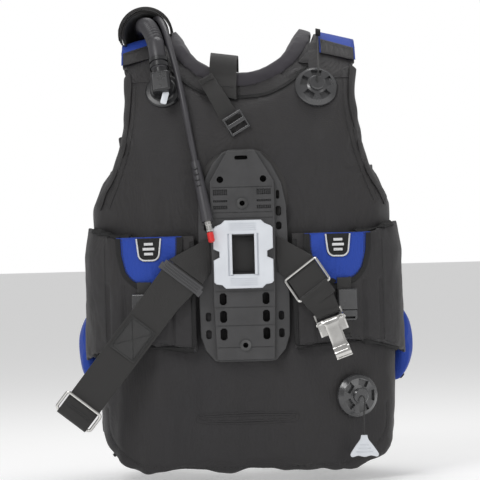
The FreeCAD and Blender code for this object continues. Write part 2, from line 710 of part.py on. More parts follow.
cam = new_body("cam_buckle", cam_frame)
cheek = new_sketch(cam, "YZ_Plane")
polygon(cheek, ((-30, -2), (-2, -2), (3, 0), (3, 2.6), (-4, 3), (-8, 9.5), (-16, 9.5), (-22, 3),
                (-30, 1)))
pad(cam, cheek, 41, both_ways=True)
hollow = new_sketch(cam, "YZ_Plane")
rectangle(hollow, -40, 3.5, -0.2, 12)
pocket(cam, hollow, 36.4, both_ways=True)
strap_slot = new_sketch(cam, "YZ_Plane")
rectangle(strap_slot, -8, 3.5, -3, 12)
pocket(cam, strap_slot, 36.4, both_ways=True)
bar = new_sketch(cam, "YZ_Plane")
circle(bar, 0, 0, 2.2)
pad(cam, bar, 40, both_ways=True)
pin = new_sketch(cam, "YZ_Plane")
circle(pin, -12, 5.4, 2.0)
pad(cam, pin, 44, both_ways=True)

lever = new_body("cam_lever", cam_frame)
lever_side = new_sketch(lever, "YZ_Plane")
polygon(lever_side, ((-7.8, 4), (-9, 9.6), (-14, 11.4), (-50, 11.4), (-60, 14.5), (-66, 20), (-67.4, 18.6),
                     (-61, 12.2), (-50, 9.2), (-17, 9.2), (-16, 2.2), (-12, 1.2), (-9, 2)))
pad(lever, lever_side, 30, both_ways=True)
lever_pin = new_sketch(lever, "YZ_Plane")
circle(lever_pin, -12, 5.4, 2.0 + CLEAR)
pocket(lever, lever_pin, 60, both_ways=True)


def skin(x, z, out=0.0):
    """Point and outward normal on the rear of the vest, at a height and a distance across."""
    z_start = N["back_arc_z"] - N["ridge_slope"] * abs(x)
    small = N["ridge_radius"]
    drop = N["ridge_z"] - N["back_arc_z"] - small
    depth = N["torso_half_depth"]
    large = (depth ** 2 + drop ** 2 - small ** 2) / (2 * (depth - small))
    centre_x = N["torso_half_width"] - N["torso_corner"]
    if z > z_start:
        rise = (z - z_start) / large
        normal = Vector(math.copysign(rise * N["ridge_slope"], x), -math.sqrt(1 - rise ** 2), rise)
        y = BACK + large - math.sqrt(large ** 2 - (z - z_start) ** 2)
    elif abs(x) > centre_x:
        across = (abs(x) - centre_x) / N["torso_corner"]
        normal = Vector(math.copysign(across, x), -math.sqrt(1 - across ** 2), 0)
        y = BACK + N["torso_corner"] * (1 - math.sqrt(1 - across ** 2))
    else:
        normal = Vector(0, -1, 0)
        y = BACK
    normal.normalize()
    return Vector(x, y, z) + normal * out, normal


def on_skin(x, z, away):
    """A corner of webbing that lies this far behind the vest."""
    return (x, skin(x, z)[0].y - away, z)


# carrying handle: a webbing loop folded over the collar
REARWARD = (0, -1, 0)
handle_sections = ((on_skin(-42, 262, 0.5), on_skin(-4, 250, 0.5), REARWARD),
                   (on_skin(-42, 272, 3.6), on_skin(-4, 268, 3.6), REARWARD),
                   (on_skin(-42, 290, 3.9), on_skin(-3, 284, 3.9), REARWARD),
                   ((-41, 45, 307), (-2.5, 40, 300), (0, -1, 0.5)),
                   ((-40, 56, 317), (-1, 51, 311), (0, -0.4, 1)),
                   ((-40, 79, 317), (0, 74, 311), (0, 0.4, 1)),
                   ((-40, 92, 300), (0, 88, 292), (0, 1, 0.3)))
feature("carry_handle", strap(handle_sections, BAND))

# strap that secures the cylinder valve: sewn at the collar, down through a ladder buckle
safety_sections = ((on_skin(-57.6, 279, 1.5), on_skin(-38.4, 289, 9.4), REARWARD),
                   (on_skin(-42.8, 250.5, 6.4), on_skin(-22, 262, 8.6), REARWARD),
                   (on_skin(-28, 222, 2.0), on_skin(-5.6, 235, 3.0), REARWARD),
                   (on_skin(-15, 200, 1.2), on_skin(8, 209, 1.6), REARWARD),
                   (on_skin(-11, 180.4, 1.4), on_skin(13.6, 180.4, 1.4), REARWARD),
                   (on_skin(-11, 164, 1.4), on_skin(13.6, 164, 1.4), REARWARD))
feature("safety_strap", strap(safety_sections, BAND))
ladder = new_body("ladder_buckle", frame_at((-5.4, 16.4, 216), (0.86, 0, 0.51), (0, -1, 0)))
ladder_plate = new_sketch(ladder, "XY_Plane")
rectangle(ladder_plate, -15, 15, -14.5, 14.5)
rectangle(ladder_plate, -12.6, 12.6, 3.2, 10.5)
rectangle(ladder_plate, -12.6, 12.6, -10.5, -3.2)
ladder_pad = pad(ladder, ladder_plate, 5.0)
soften(ladder, ladder_pad, 1.4, lambda edge: edge.BoundBox.ZLength < 1e-4
       and edge.BoundBox.ZMin > 4.9 and edge.Length > 25)

# ---------------------------------------------------------------- dump valves and their pull cords

CORD = N["dump_cord"] / 2


def dump_valve(label, x, z):
    """Round valve cover with windows round a raised hub; gives the hub's top and the frame."""
    point, normal = skin(x, z)
    place = frame_at(point, (1, 0, 0) if abs(normal.x) < 0.3 else (0, 0, -1), normal)
    valve = new_body(label, place)
    profile = new_sketch(valve, "XZ_Plane")
    rim = S["valve_radius"]
    top = S["valve_height"]
    hub = S["valve_hub"]
    polygon(profile, ((0, 0.4), (rim, 0.4), (rim, 5.5), (rim - 1.5, 7.2), (rim - 6, top - 2),
                      (hub + 3, top - 1), (hub, top), (hub, top + 4.6), (hub - 1.4, top + 6), (0, top + 6)))
    revolve(valve, profile)
    windows = new_sketch(valve, "XY_Plane", 20)
    for step in range(5):
        turn = math.radians(90 + 72 * step)
        spread = math.radians(24)
        inner, outer = 15.5, 24.5
        corners = [(radius * math.cos(turn + side * spread), radius * math.sin(turn + side * spread))
                   for radius, side in ((inner, -1), (outer, -0.8), (outer, 0.8), (inner, 1))]
        polygon(windows, corners)
    pocket(valve, windows, 20 - N["valve_height"] + 6.5)
    hub_top = place.multVec(Vector(0, 0, N["valve_height"] + 6))
    return hub_top, normal


KNOB_BORE = 13.0


def pull_knob(label, top, down, face):
    """Moulded bell-shaped pull: narrow neck, wide skirt, flat in depth."""
    knob = new_body(label, frame_at(top, Vector(*face).cross(Vector(*down)), face))
    outline = new_sketch(knob, "XY_Plane")
    right_edge = ((5, 0), (6.5, -1.5), (6.0, -7), (12, -9.5), (17.5, -14), (20, -19), (19.5, -23),
                  (14.5, -25), (13, -29.5), (8, -31))
    polygon(outline, right_edge + tuple((-x, y) for x, y in reversed(right_edge)))
    knob_pad = pad(knob, outline, 11, both_ways=True)
    soften(knob, knob_pad, 2.2, lambda edge: edge.BoundBox.ZLength < 1e-4)
    bore = new_sketch(knob, "XZ_Plane", -1)
    circle(bore, 0, 0, CORD + 0.1)
    pocket(knob, bore, KNOB_BORE + 1, reverse=True)


upper_hub, upper_normal = dump_valve("upper_dump_valve", 110.5, 264.5)
lower_hub, lower_normal = dump_valve("lower_dump_valve", 156.5, -178)

# the upper cord leaves the hub, climbs over the shoulder and hangs on the chest
upper_exit = upper_hub + upper_normal * 0.05
upper_route = [tuple(upper_exit), tuple(upper_exit + upper_normal * 14 + Vector(0, 0, 9)),
               (114.5, 50, 306), (116, 79, 331), (117, 117, 353.5), (117.5, 162, 358.5),
               (118, 206, 341), (118.5, 238, 311), (118.5, 263, 279), (118, 277.5, 262),
               (118, 277.5, 238)]
upper_end = Vector(*upper_route[-1])
feature("upper_dump_cord", tube(upper_route, CORD, name="upper_dump_cord"))
pull_knob("upper_dump_knob", upper_end + Vector(0, 0, KNOB_BORE - 0.1), (0, 0, -1), (0, 1, 0))

# the lower cord leaves the hub and hangs straight down
lower_exit = lower_hub + lower_normal * 0.05
lower_end = lower_exit + lower_normal * 12 + Vector(-3.5, 0, -68)
lower_route = [tuple(lower_exit), tuple(lower_exit + lower_normal * 8 + Vector(0, 0, -1)),
               tuple(lower_exit + lower_normal * 12.5 + Vector(-1.2, 0, -9.5)),
               tuple(lower_exit + lower_normal * 12 + Vector(-3.5, 0, -28)), tuple(lower_end)]
feature("lower_dump_cord", tube(lower_route, CORD, name="lower_dump_cord"))
pull_knob("lower_dump_knob", lower_end + Vector(0, 0, KNOB_BORE - 0.1), (0, 0, -1), (0.3, -0.95, 0))

# ---------------------------------------------------------------- breathing hose and inflator

elbow_point, elbow_normal = skin(-108.5, 264)
elbow_frame = frame_at(elbow_point, (0.99, 0, 0.1), elbow_normal)
HOSE = N["breathing_hose"] / 2
flange = S["elbow_flange"]
turned("elbow_flange", ((0, 0.4), (flange, 0.4), (flange, 5), (flange - 2, 7), (19, 8), (17, 9.5), (17, 13),
                        (0, 13)), elbow_frame)

elbow = new_body("hose_elbow", elbow_frame)
housing = new_sketch(elbow, "XY_Plane", 13)
rectangle(housing, -13.5, 13.5, -15, 17)
housing_pad = pad(elbow, housing, 23)
soften(elbow, housing_pad, 3.5, lambda edge: edge.BoundBox.ZMin > 30 and edge.BoundBox.ZLength < 1e-4
       or abs(edge.BoundBox.ZLength - 23) < 1e-4)
spigot = new_sketch(elbow, "XZ_Plane", -16)
circle(spigot, 0, 24, 11.2)
pad(elbow, spigot, 8).Reversed = True

hose_start = elbow_frame.multVec(Vector(0, 24.1, 24))
hose_way = elbow_frame.Rotation.multVec(Vector(0, 1, 0))
hose_route = [tuple(hose_start), tuple(hose_start + hose_way * 43), (-128, 86, 361), (-137, 126, 368),
              (-141.5, 166, 365), (-142, 209, 346.5), (-139, 249, 308), (-133, 284, 247),
              (-128, 301, 192), (-128, 301, 148.1)]
feature("corrugated_hose", tube(hose_route, HOSE, name="corrugated_hose"))

# clamps round the two cuffs of the hose
def clamp(centre, axis, label):
    start = Vector(*centre) - Vector(*axis).normalize() * 3
    place = frame_at(start, (1, 0, 0.1), axis)
    band = cylinder(label + "_outer", HOSE + 1.6, 6, place)
    inside = cylinder(label + "_inner", HOSE, 6, place)
    return joined("cut", label, (band, inside))


clamps = [clamp(hose_start + hose_way * 5, hose_way, "lower_clamp"),
          clamp(hose_start + hose_way * 14, hose_way, "upper_clamp")]
joined("compound", "hose_clamps", clamps)

# inflator: an upright barrel with the hose on top, buttons, a mouthpiece and a side coupler
BARREL = S["inflator_radius"]
INFLATOR_TOP = 148.0
INFLATOR = (-128.0, 301.0, INFLATOR_TOP - 28)
LONG = S["inflator_length"]
inflator = new_body("inflator_body", frame_at(INFLATOR, (1, 0, 0), (0, 0, 1)))
barrel = new_sketch(inflator, "XZ_Plane")
polygon(barrel, ((0, 28), (11.5, 28), (12.5, 16), (BARREL, 11), (BARREL, -LONG + 38),
                 (BARREL - 1.5, -LONG + 36), (0, -LONG + 36)))
revolve(inflator, barrel)
side_port = new_sketch(inflator, "XY_Plane", -6)
rectangle(side_port, 10, 29.5, -7, 7)
pad(inflator, side_port, 15)
nipple = new_sketch(inflator, "XY_Plane", 8.9)
circle(nipple, 23, 0, 4.4)
pad(inflator, nipple, 9)
snout = new_sketch(inflator, "YZ_Plane", -12)
rectangle(snout, -9, 9, -52, -32)
snout_pad = pad(inflator, snout, 16)
snout_pad.Reversed = True
deflate_well = new_sketch(inflator, "XY_Plane", -LONG + 36)
circle(deflate_well, 0, 0, S["button_radius"] + 2 + S["button_gap"])
pocket(inflator, deflate_well, 8, reverse=True)
inflate_well = new_sketch(inflator, "XZ_Plane", -BARREL - 1)
circle(inflate_well, 0, -4, S["button_radius"] + S["button_gap"])
pocket(inflator, inflate_well, 11, reverse=True)

button = S["button_radius"]
turned("inflate_button", ((0, -6), (button, -6), (button, 2.4), (button - 1, 3.4), (0, 3.4)),
       frame_at((INFLATOR[0], INFLATOR[1] + N["inflator_radius"], INFLATOR[2] - 4), (1, 0, 0), (0, 1, 0)))
wide_button = button + 2
turned("deflate_button", ((0, -4.5), (wide_button, -4.5), (wide_button, 3), (wide_button - 1.2, 4.2),
                          (0, 4.2)),
       frame_at((INFLATOR[0], INFLATOR[1], INFLATOR[2] - N["inflator_length"] + 36), (1, 0, 0), (0, 0, -1)))

mouthpiece = new_body("mouthpiece", frame_at((INFLATOR[0] - 28.1, INFLATOR[1], INFLATOR[2] - 42),
                                             (0, 1, 0), (-1, 0, 0)))
stations = ((0, 8, 9), (7, 12, 9), (10, 17, 10.5), (12.5, 17, 10.5))
lips = mouthpiece.newObject("PartDesign::AdditiveLoft", "mouthpiece_loft")
outlines = []
for height, wide, tall in stations:
    drawn = new_sketch(mouthpiece, "XY_Plane", height)
    rectangle(drawn, -wide, wide, -tall, tall)
    outlines.append(drawn)
lips.Profile = outlines[0]
lips.Sections = outlines[1:]
lips.Ruled = True
airway = new_sketch(mouthpiece, "XY_Plane", 20)
rectangle(airway, -6, 6, -5.5, 5.5)
pocket(mouthpiece, airway, 17)

# quick coupler of the low-pressure hose: a sleeve that slides back along its own stem
COUPLER = (INFLATOR[0] + 23, INFLATOR[1], INFLATOR[2] + 18)
turned("coupler_stem", ((0, 0.05), (4.4, 0.05), (4.4, 16), (5.6, 16), (5.6, 27), (0, 27)),
       frame_at(COUPLER, (1, 0, 0), (0, 0, 1)))
turned("quick_coupler", ((4.4 + 0.06, 1), (8.2, 1), (8.2, 4), (7.2, 5), (7.2, 11), (4.4 + 0.06, 11)),
       frame_at(COUPLER, (1, 0, 0), (0, 0, 1)))

LOW_PRESSURE = N["low_pressure_hose"] / 2
SLEEVE_TOP = Vector(-65.3, 9, 162)
SLEEVE_END = Vector(-49.4, -12.6, 75.7)
sleeve_way = (SLEEVE_END - SLEEVE_TOP).normalize()
low_route = [(COUPLER[0], COUPLER[1], COUPLER[2] + 27.1), (-104.5, 302, 204), (-106, 292, 246),
             (-110, 269, 296), (-115, 234, 341), (-120, 192, 367), (-123.5, 147, 376.5),
             (-115, 103, 376), (-106.5, 74, 360), (-98.5, 54, 331), (-89, 38, 294), (-80.5, 21, 250),
             (-74.3, 14, 213), (-68.6, 13.4, 180.1), tuple(SLEEVE_TOP - sleeve_way * 0.05)]
feature("lp_hose", tube(low_route, LOW_PRESSURE, name="lp_hose"))
sleeve = Part.makeCone(6.5, 8.5, 90, SLEEVE_TOP, sleeve_way)
feature("hose_sleeve", sleeve)
fitting_frame = frame_at(SLEEVE_TOP + sleeve_way * 90.05, (1, 0, 0), sleeve_way)
turned("hose_fitting", ((0, 0), (5.2, 0), (5.2, 6), (4.6, 6.6), (4.6, 12), (5.0, 12.6), (5.0, 16),
                        (3.4, 16.6), (3.4, 25), (0, 25)), fitting_frame)
turned("hose_cap", ((3.4 + 0.06, 17), (4.7, 17), (4.7, 29), (3.6, 30.5), (0, 30.5), (0, 25.4),
                    (3.4 + 0.06, 25.4)), fitting_frame)

# hose retainer: a standing webbing arch over the left shoulder
arch_outer = [Part.Arc(Vector(-169, 0, 338), Vector(-133, 0, 391.4), Vector(-97, 0, 352)),
              Part.LineSegment(Vector(-97, 0, 352), Vector(-97, 0, 300)),
              Part.LineSegment(Vector(-97, 0, 300), Vector(-169, 0, 300)),
              Part.LineSegment(Vector(-169, 0, 300), Vector(-169, 0, 338))]
arch_inner = [Part.Arc(Vector(-166.4, 0, 338), Vector(-133, 0, 389), Vector(-99.6, 0, 352)),
              Part.LineSegment(Vector(-99.6, 0, 352), Vector(-99.6, 0, 290)),
              Part.LineSegment(Vector(-99.6, 0, 290), Vector(-166.4, 0, 290)),
              Part.LineSegment(Vector(-166.4, 0, 290), Vector(-166.4, 0, 338))]
arch = prism(arch_outer, 110, 156).cut(prism(arch_inner, 100, 166)).cut(torso(3.4)[0])
arch = max(arch.Solids, key=lambda solid: solid.Volume)
feature("hose_retainer", arch)

# ---------------------------------------------------------------- buckles and rings

def side_release(side, x, z):
    """Socket sewn under the flap and the plug that pulls down out of it, on the rear pockets."""
    point, normal = skin(side * x, z)
    place = frame_at(point + normal * (16 + 0.6), (0, 0, 1), normal).multiply(
        Placement(Vector(), Rotation(Vector(0, 0, 1), -90)))
    name = "right" if side > 0 else "left"
    socket = new_body(name + "_pocket_buckle", place)
    shell_sketch = new_sketch(socket, "XY_Plane")
    rectangle(shell_sketch, -14.5, 14.5, -15, 15)
    socket_pad = pad(socket, shell_sketch, 9.5)
    soften(socket, socket_pad, 2.5, lambda edge: edge.BoundBox.ZMin > 9 and edge.Length > 10)
    cavity = new_sketch(socket, "XZ_Plane", 15)
    rectangle(cavity, -12, 12, 2.2, 7.4)
    pocket(socket, cavity, 25)
    plug = new_body(name + "_pocket_clip", place)
    plug_sketch = new_sketch(plug, "XY_Plane", 0.3)
    polygon(plug_sketch, ((-14, -15.3), (-14, -27), (-11, -30), (11, -30), (14, -27), (14, -15.3)))
    plug_pad = pad(plug, plug_sketch, 8.6)
    soften(plug, plug_pad, 1.2, lambda edge: edge.BoundBox.ZMin > 8 and edge.BoundBox.ZLength < 1e-4)
    prongs = new_sketch(plug, "XY_Plane", 2.6)
    for way in (-1, 1):
        rectangle(prongs, way * 9 - 2.4, way * 9 + 2.4, -16, 6)
    rectangle(prongs, -2, 2, -16, 4)
    pad(plug, prongs, 4.4)
    webbing_slot = new_sketch(plug, "XY_Plane", 20)
    rectangle(webbing_slot, -10.4, 10.4, -27.5, -24.5)
    pocket(plug, webbing_slot)


side_release(1, 141.0, -39.5)
side_release(-1, 141.0, -39.5)


# chest strap at the front, clipped in the middle
CHEST_Z = 186.0
CHEST_Y = 262.0
STRAP_X = 126.0


def front_strap(side):
    """Adjusting webbing between the padded shoulder and the lobe."""
    wide = N["belt_width"] / 2
    top = ((side * STRAP_X - wide, 258, 226), (side * STRAP_X + wide, 258, 226), (0, 1, 0))
    middle = ((side * STRAP_X - wide, 264, 180), (side * STRAP_X + wide, 264, 180), (0, 1, 0))
    low = ((side * 121 - wide, 266, 128.2), (side * 121 + wide, 266, 128.2), (0, 1, 0))
    return strap((top, middle, low), BAND)


feature("shoulder_straps", Part.makeCompound([front_strap(-1), front_strap(1)]))


def chest_web(side, inner_x):
    thin = N["thin_belt"] / 2
    near = ((inner_x, CHEST_Y, CHEST_Z - thin), (inner_x, CHEST_Y, CHEST_Z + thin), (0, 1, 0))
    far = ((side * (STRAP_X - 19.4), CHEST_Y, CHEST_Z - thin), (side * (STRAP_X - 19.4), CHEST_Y,
                                                                 CHEST_Z + thin), (0, 1, 0))
    return strap((near, far), BAND)


chest_frame = frame_at((0, CHEST_Y - 3.5, CHEST_Z), (0, 0, 1), (0, 1, 0))
chest_socket = new_body("chest_buckle", chest_frame)
chest_outline = new_sketch(chest_socket, "XY_Plane")
rectangle(chest_outline, -17, 17, -33, 6)
chest_pad = pad(chest_socket, chest_outline, 11)
soften(chest_socket, chest_pad, 2.5, lambda edge: edge.BoundBox.ZMin > 10 and edge.Length > 10)
chest_cavity = new_sketch(chest_socket, "XZ_Plane", -6.0)
rectangle(chest_cavity, -14, 14, 2.4, 8.4)
pocket(chest_socket, chest_cavity, 30, reverse=True)
chest_clip = new_body("chest_clip", chest_frame)
clip_outline = new_sketch(chest_clip, "XY_Plane", 0.3)
rectangle(clip_outline, -16, 16, 6.4, 33)
clip_pad = pad(chest_clip, clip_outline, 9.6)
soften(chest_clip, clip_pad, 2.2, lambda edge: edge.BoundBox.ZMin > 9 and edge.Length > 10)
clip_prongs = new_sketch(chest_clip, "XY_Plane", 2.8)
for way in (-1, 1):
    rectangle(clip_prongs, way * 10.5 - 2.6, way * 10.5 + 2.6, -16, 8)
rectangle(clip_prongs, -2.2, 2.2, -13, 8)
pad(chest_clip, clip_prongs, 5.2)
strap_way = new_sketch(chest_clip, "XZ_Plane", -34)
rectangle(strap_way, -13, 13, 3.1, 6.3)
pocket(chest_clip, strap_way, 22, reverse=True)
feature("chest_straps", Part.makeCompound([chest_web(-1, -33.05), chest_web(1, 30.0)]))


def d_ring(side):
    """Welded D ring in a webbing loop on the front lobe."""
    label = ("right" if side > 0 else "left") + "_d_ring"
    bar_y = FRONT + 4.2
    place = frame_at((side * 74, bar_y, 56), (1, 0, 0), (0, 1, 0.09))
    loop = ((-23, 0, 0), (23, 0, 0), (23, 14, 0), (11, 30, 0), (-11, 30, 0), (-23, 14, 0))
    feature(label, tube(loop, 2.4, closed=True), place)
    return sleeve_along((side * 74, bar_y, 56), (1, 0, 0), 3.8, 2.4 + CLEAR, 15)


feature("d_ring_loops", Part.makeCompound([d_ring(-1), d_ring(1)]))

# ---------------------------------------------------------------- checks and STEP files

doc.recompute()
inside = set()
for each in doc.Objects:
    if each.TypeId in ("Part::Cut", "Part::MultiFuse", "Part::Compound"):
        inside.update(member.Name for member in each.OutList)
pieces = []
for each in doc.Objects:
    if "Invalid" in each.State or "Error" in each.State:
        raise RuntimeError("%s failed: %s" % (each.Label, each.State))
    if each.TypeId == "PartDesign::Body" or each.TypeId.startswith("Part::"):
        if each.Name not in inside:
            pieces.append(each)
os.makedirs("parts", exist_ok=True)
for piece in pieces:
    if piece.Shape.isNull() or not piece.Shape.isValid():
        raise RuntimeError("%s has no valid shape" % piece.Label)
    piece.Shape.exportStep("parts/%s.step" % piece.Label)
print("%d pieces written" % len(pieces))
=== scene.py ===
import math

import bmesh
import bpy
from mathutils import Matrix, Vector, noise
from mathutils.bvhtree import BVHTree


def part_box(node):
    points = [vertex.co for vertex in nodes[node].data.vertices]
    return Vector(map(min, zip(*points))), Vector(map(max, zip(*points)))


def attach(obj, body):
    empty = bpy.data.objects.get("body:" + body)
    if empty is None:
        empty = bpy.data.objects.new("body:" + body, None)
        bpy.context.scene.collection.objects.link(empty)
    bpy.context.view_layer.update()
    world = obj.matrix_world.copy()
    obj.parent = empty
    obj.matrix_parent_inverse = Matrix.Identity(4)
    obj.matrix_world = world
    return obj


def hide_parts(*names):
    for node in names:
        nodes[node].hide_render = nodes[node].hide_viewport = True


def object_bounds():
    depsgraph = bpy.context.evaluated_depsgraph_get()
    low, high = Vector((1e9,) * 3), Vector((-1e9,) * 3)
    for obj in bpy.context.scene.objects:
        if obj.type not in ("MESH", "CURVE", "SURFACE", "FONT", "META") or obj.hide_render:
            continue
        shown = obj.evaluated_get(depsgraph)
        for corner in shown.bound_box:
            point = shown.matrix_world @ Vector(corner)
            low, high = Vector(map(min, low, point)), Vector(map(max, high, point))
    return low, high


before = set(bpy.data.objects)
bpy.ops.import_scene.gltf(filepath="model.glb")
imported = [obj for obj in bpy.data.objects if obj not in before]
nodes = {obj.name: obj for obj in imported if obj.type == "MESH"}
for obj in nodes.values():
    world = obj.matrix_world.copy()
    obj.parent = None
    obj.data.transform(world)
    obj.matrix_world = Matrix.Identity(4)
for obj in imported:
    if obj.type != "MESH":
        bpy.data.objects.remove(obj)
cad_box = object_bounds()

mirrored = ((1, "right"), (-1, "left"))

# ---------------------------------------------------------------- camera, floor and studio light
# A long lens square behind the hanging vest, turned a little in its mount, so that the vest
# stands a degree and a half off plumb. A white floor and big soft lamps go round it.

view_middle = Vector((-0.0043, 0.020, 0.0487))
view_width = 0.6864
camera_lens = 200.0
camera_turn = math.radians(1.5)

camera_data = bpy.data.cameras.new("camera")
camera_data.lens = camera_lens
camera_data.sensor_width = 36.0
camera_data.clip_end = 50.0
camera = bpy.data.objects.new("camera", camera_data)
bpy.context.scene.collection.objects.link(camera)
stand_off = view_width * camera_lens / camera_data.sensor_width
camera.matrix_world = (Matrix.Translation(view_middle - Vector((0, stand_off, 0)))
                       @ Matrix.Rotation(math.pi / 2, 4, "X") @ Matrix.Rotation(-camera_turn, 4, "Z"))
bpy.context.scene.camera = camera
bpy.context.scene.view_settings.view_transform = "Standard"

world = bpy.data.worlds.new("studio")
world.use_nodes = True
daylight = world.node_tree.nodes["Background"]
daylight.inputs["Color"].default_value = (1.0, 1.0, 1.0, 1)
daylight.inputs["Strength"].default_value = 0.46
backdrop = world.node_tree.nodes.new("ShaderNodeBackground")
backdrop.inputs["Strength"].default_value = 1.0
backdrop.inputs["Color"].default_value = (1.0, 1.0, 1.0, 1)
seen = world.node_tree.nodes.new("ShaderNodeLightPath")
either = world.node_tree.nodes.new("ShaderNodeMixShader")
world.node_tree.links.new(seen.outputs["Is Camera Ray"], either.inputs[0])
world.node_tree.links.new(daylight.outputs[0], either.inputs[1])
world.node_tree.links.new(backdrop.outputs[0], either.inputs[2])
world.node_tree.links.new(either.outputs[0], world.node_tree.nodes["World Output"].inputs["Surface"])
bpy.context.scene.world = world


def lamp(name, place, aim, size, power):
    """A soft square lamp that points at a spot on the vest."""
    data = bpy.data.lights.new(name, "AREA")
    data.size = size
    data.energy = power
    made = bpy.data.objects.new(name, data)
    bpy.context.scene.collection.objects.link(made)
    towards = (Vector(aim) - Vector(place)).to_track_quat("-Z", "Y")
    made.matrix_world = Matrix.Translation(place) @ towards.to_matrix().to_4x4()


lamp("key_lamp", (-1.1, -1.7, 1.7), (0, 0, 0.1), 1.0, 22)
lamp("fill_lamp", (1.6, -1.5, 0.5), (0, 0, 0), 1.2, 7)
lamp("top_lamp", (0.2, 0.5, 2.0), (0, 0.1, 0.2), 1.2, 15)

floor_shape = bmesh.new()
bmesh.ops.create_grid(floor_shape, x_segments=1, y_segments=1, size=30.0,
                      matrix=Matrix.Translation((0, 0, cad_box[0][2] - 0.012)))
floor_mesh = bpy.data.meshes.new("studio_floor")
floor_shape.to_mesh(floor_mesh)
floor_shape.free()
floor = bpy.data.objects.new("studio_floor", floor_mesh)
bpy.context.scene.collection.objects.link(floor)
floor_finish = bpy.data.materials.new("pale_floor")
floor_finish.use_nodes = True
floor_shader = floor_finish.node_tree.nodes["Principled BSDF"]
floor_shader.inputs["Base Color"].default_value = (0.93, 0.93, 0.93, 1)
floor_shader.inputs["Roughness"].default_value = 0.9
floor_shader.inputs["Specular IOR Level"].default_value = 0.1
floor_shader.inputs["Emission Color"].default_value = (1.0, 1.0, 1.0, 1)
floor_shader.inputs["Emission Strength"].default_value = 0.2
floor_mesh.materials.append(floor_finish)

# ---------------------------------------------------------------- low-pressure hose
# A smooth rubber hose that feeds air to the inflator. It leaves the quick coupler, climbs over
# the left shoulder under the retainer and comes down the back to a moulded bend protector.


def new_input(group, kind, name, value):
    """One named input of a surface group, with its usual value."""
    made = group.interface.new_socket(name=name, in_out="INPUT", socket_type=kind)
    if value is not None:
        made.default_value = value


def new_surface(name, inputs):
    """An empty surface group: it takes a place and its own values, and gives colour, gloss and relief."""
    group = bpy.data.node_groups.new(name, "ShaderNodeTree")
    new_input(group, "NodeSocketVector", "Place", None)
    new_input(group, "NodeSocketColor", "Deep", (0.02, 0.02, 0.02, 1))
    new_input(group, "NodeSocketColor", "Raised", (0.05, 0.05, 0.05, 1))
    new_input(group, "NodeSocketFloat", "Least rough", 0.4)
    new_input(group, "NodeSocketFloat", "Most rough", 0.6)
    for kind, label, value in inputs:
        new_input(group, kind, label, value)
    for kind, label in (("NodeSocketColor", "Colour"), ("NodeSocketFloat", "Roughness"),
                        ("NodeSocketFloat", "Relief")):
        group.interface.new_socket(name=label, in_out="OUTPUT", socket_type=kind)
    start = group.nodes.new("NodeGroupInput")
    end = group.nodes.new("NodeGroupOutput")
    return group, start, end


def reckon(group, what, first, second=None):
    """A Math node; each side is a number or another node's output."""
    node = group.nodes.new("ShaderNodeMath")
    node.operation = what
    for socket, value in zip(node.inputs, (first, second)):
        if isinstance(value, (int, float)):
            socket.default_value = value
        elif value is not None:
            group.links.new(value, socket)
    return node.outputs[0]


def cloud(group, place, scale, detail):
    """Soft random shading of the given fineness."""
    node = group.nodes.new("ShaderNodeTexNoise")
    node.inputs["Detail"].default_value = detail
    group.links.new(place, node.inputs["Vector"])
    if isinstance(scale, (int, float)):
        node.inputs["Scale"].default_value = scale
    else:
        group.links.new(scale, node.inputs["Scale"])
    return node.outputs["Fac"]


def spread(group, factor, low, high):
    """A number between two ends."""
    node = group.nodes.new("ShaderNodeMapRange")
    group.links.new(factor, node.inputs["Value"])
    node.inputs["From Min"].default_value = 0.3
    node.inputs["From Max"].default_value = 0.7
    group.links.new(low, node.inputs["To Min"])
    group.links.new(high, node.inputs["To Max"])
    return node.outputs["Result"]


def tinted(group, factor, deep, raised):
    """A colour between two ends."""
    node = group.nodes.new("ShaderNodeMix")
    node.data_type = "RGBA"
    group.links.new(factor, node.inputs["Factor"])
    group.links.new(deep, node.inputs[6])
    group.links.new(raised, node.inputs[7])
    return node.outputs[2]


def give(group, start, end, shade, wear, relief):
    """Sends a surface group's results out: shade picks its colour, wear its gloss."""
    colour = tinted(group, shade, start.outputs["Deep"], start.outputs["Raised"])
    roughness = spread(group, wear, start.outputs["Least rough"], start.outputs["Most rough"])
    for label, value in (("Colour", colour), ("Roughness", roughness), ("Relief", relief)):
        group.links.new(value, end.inputs[label])


# the fine leathery grain of moulded rubber and plastic, with soft scuffs
grain, start, end = new_surface("moulded_grain", [("NodeSocketFloat", "Fineness", 900.0)])
pits = cloud(grain, start.outputs["Place"], start.outputs["Fineness"], 2.0)
scuffs = cloud(grain, start.outputs["Place"], 38.0, 5.0)
give(grain, start, end, scuffs, scuffs, pits)


socket_names = {"specular": "Specular IOR Level", "sheen": "Sheen Weight", "sheen_rough": "Sheen Roughness",
                "coat": "Coat Weight", "coat_rough": "Coat Roughness", "metallic": "Metallic"}


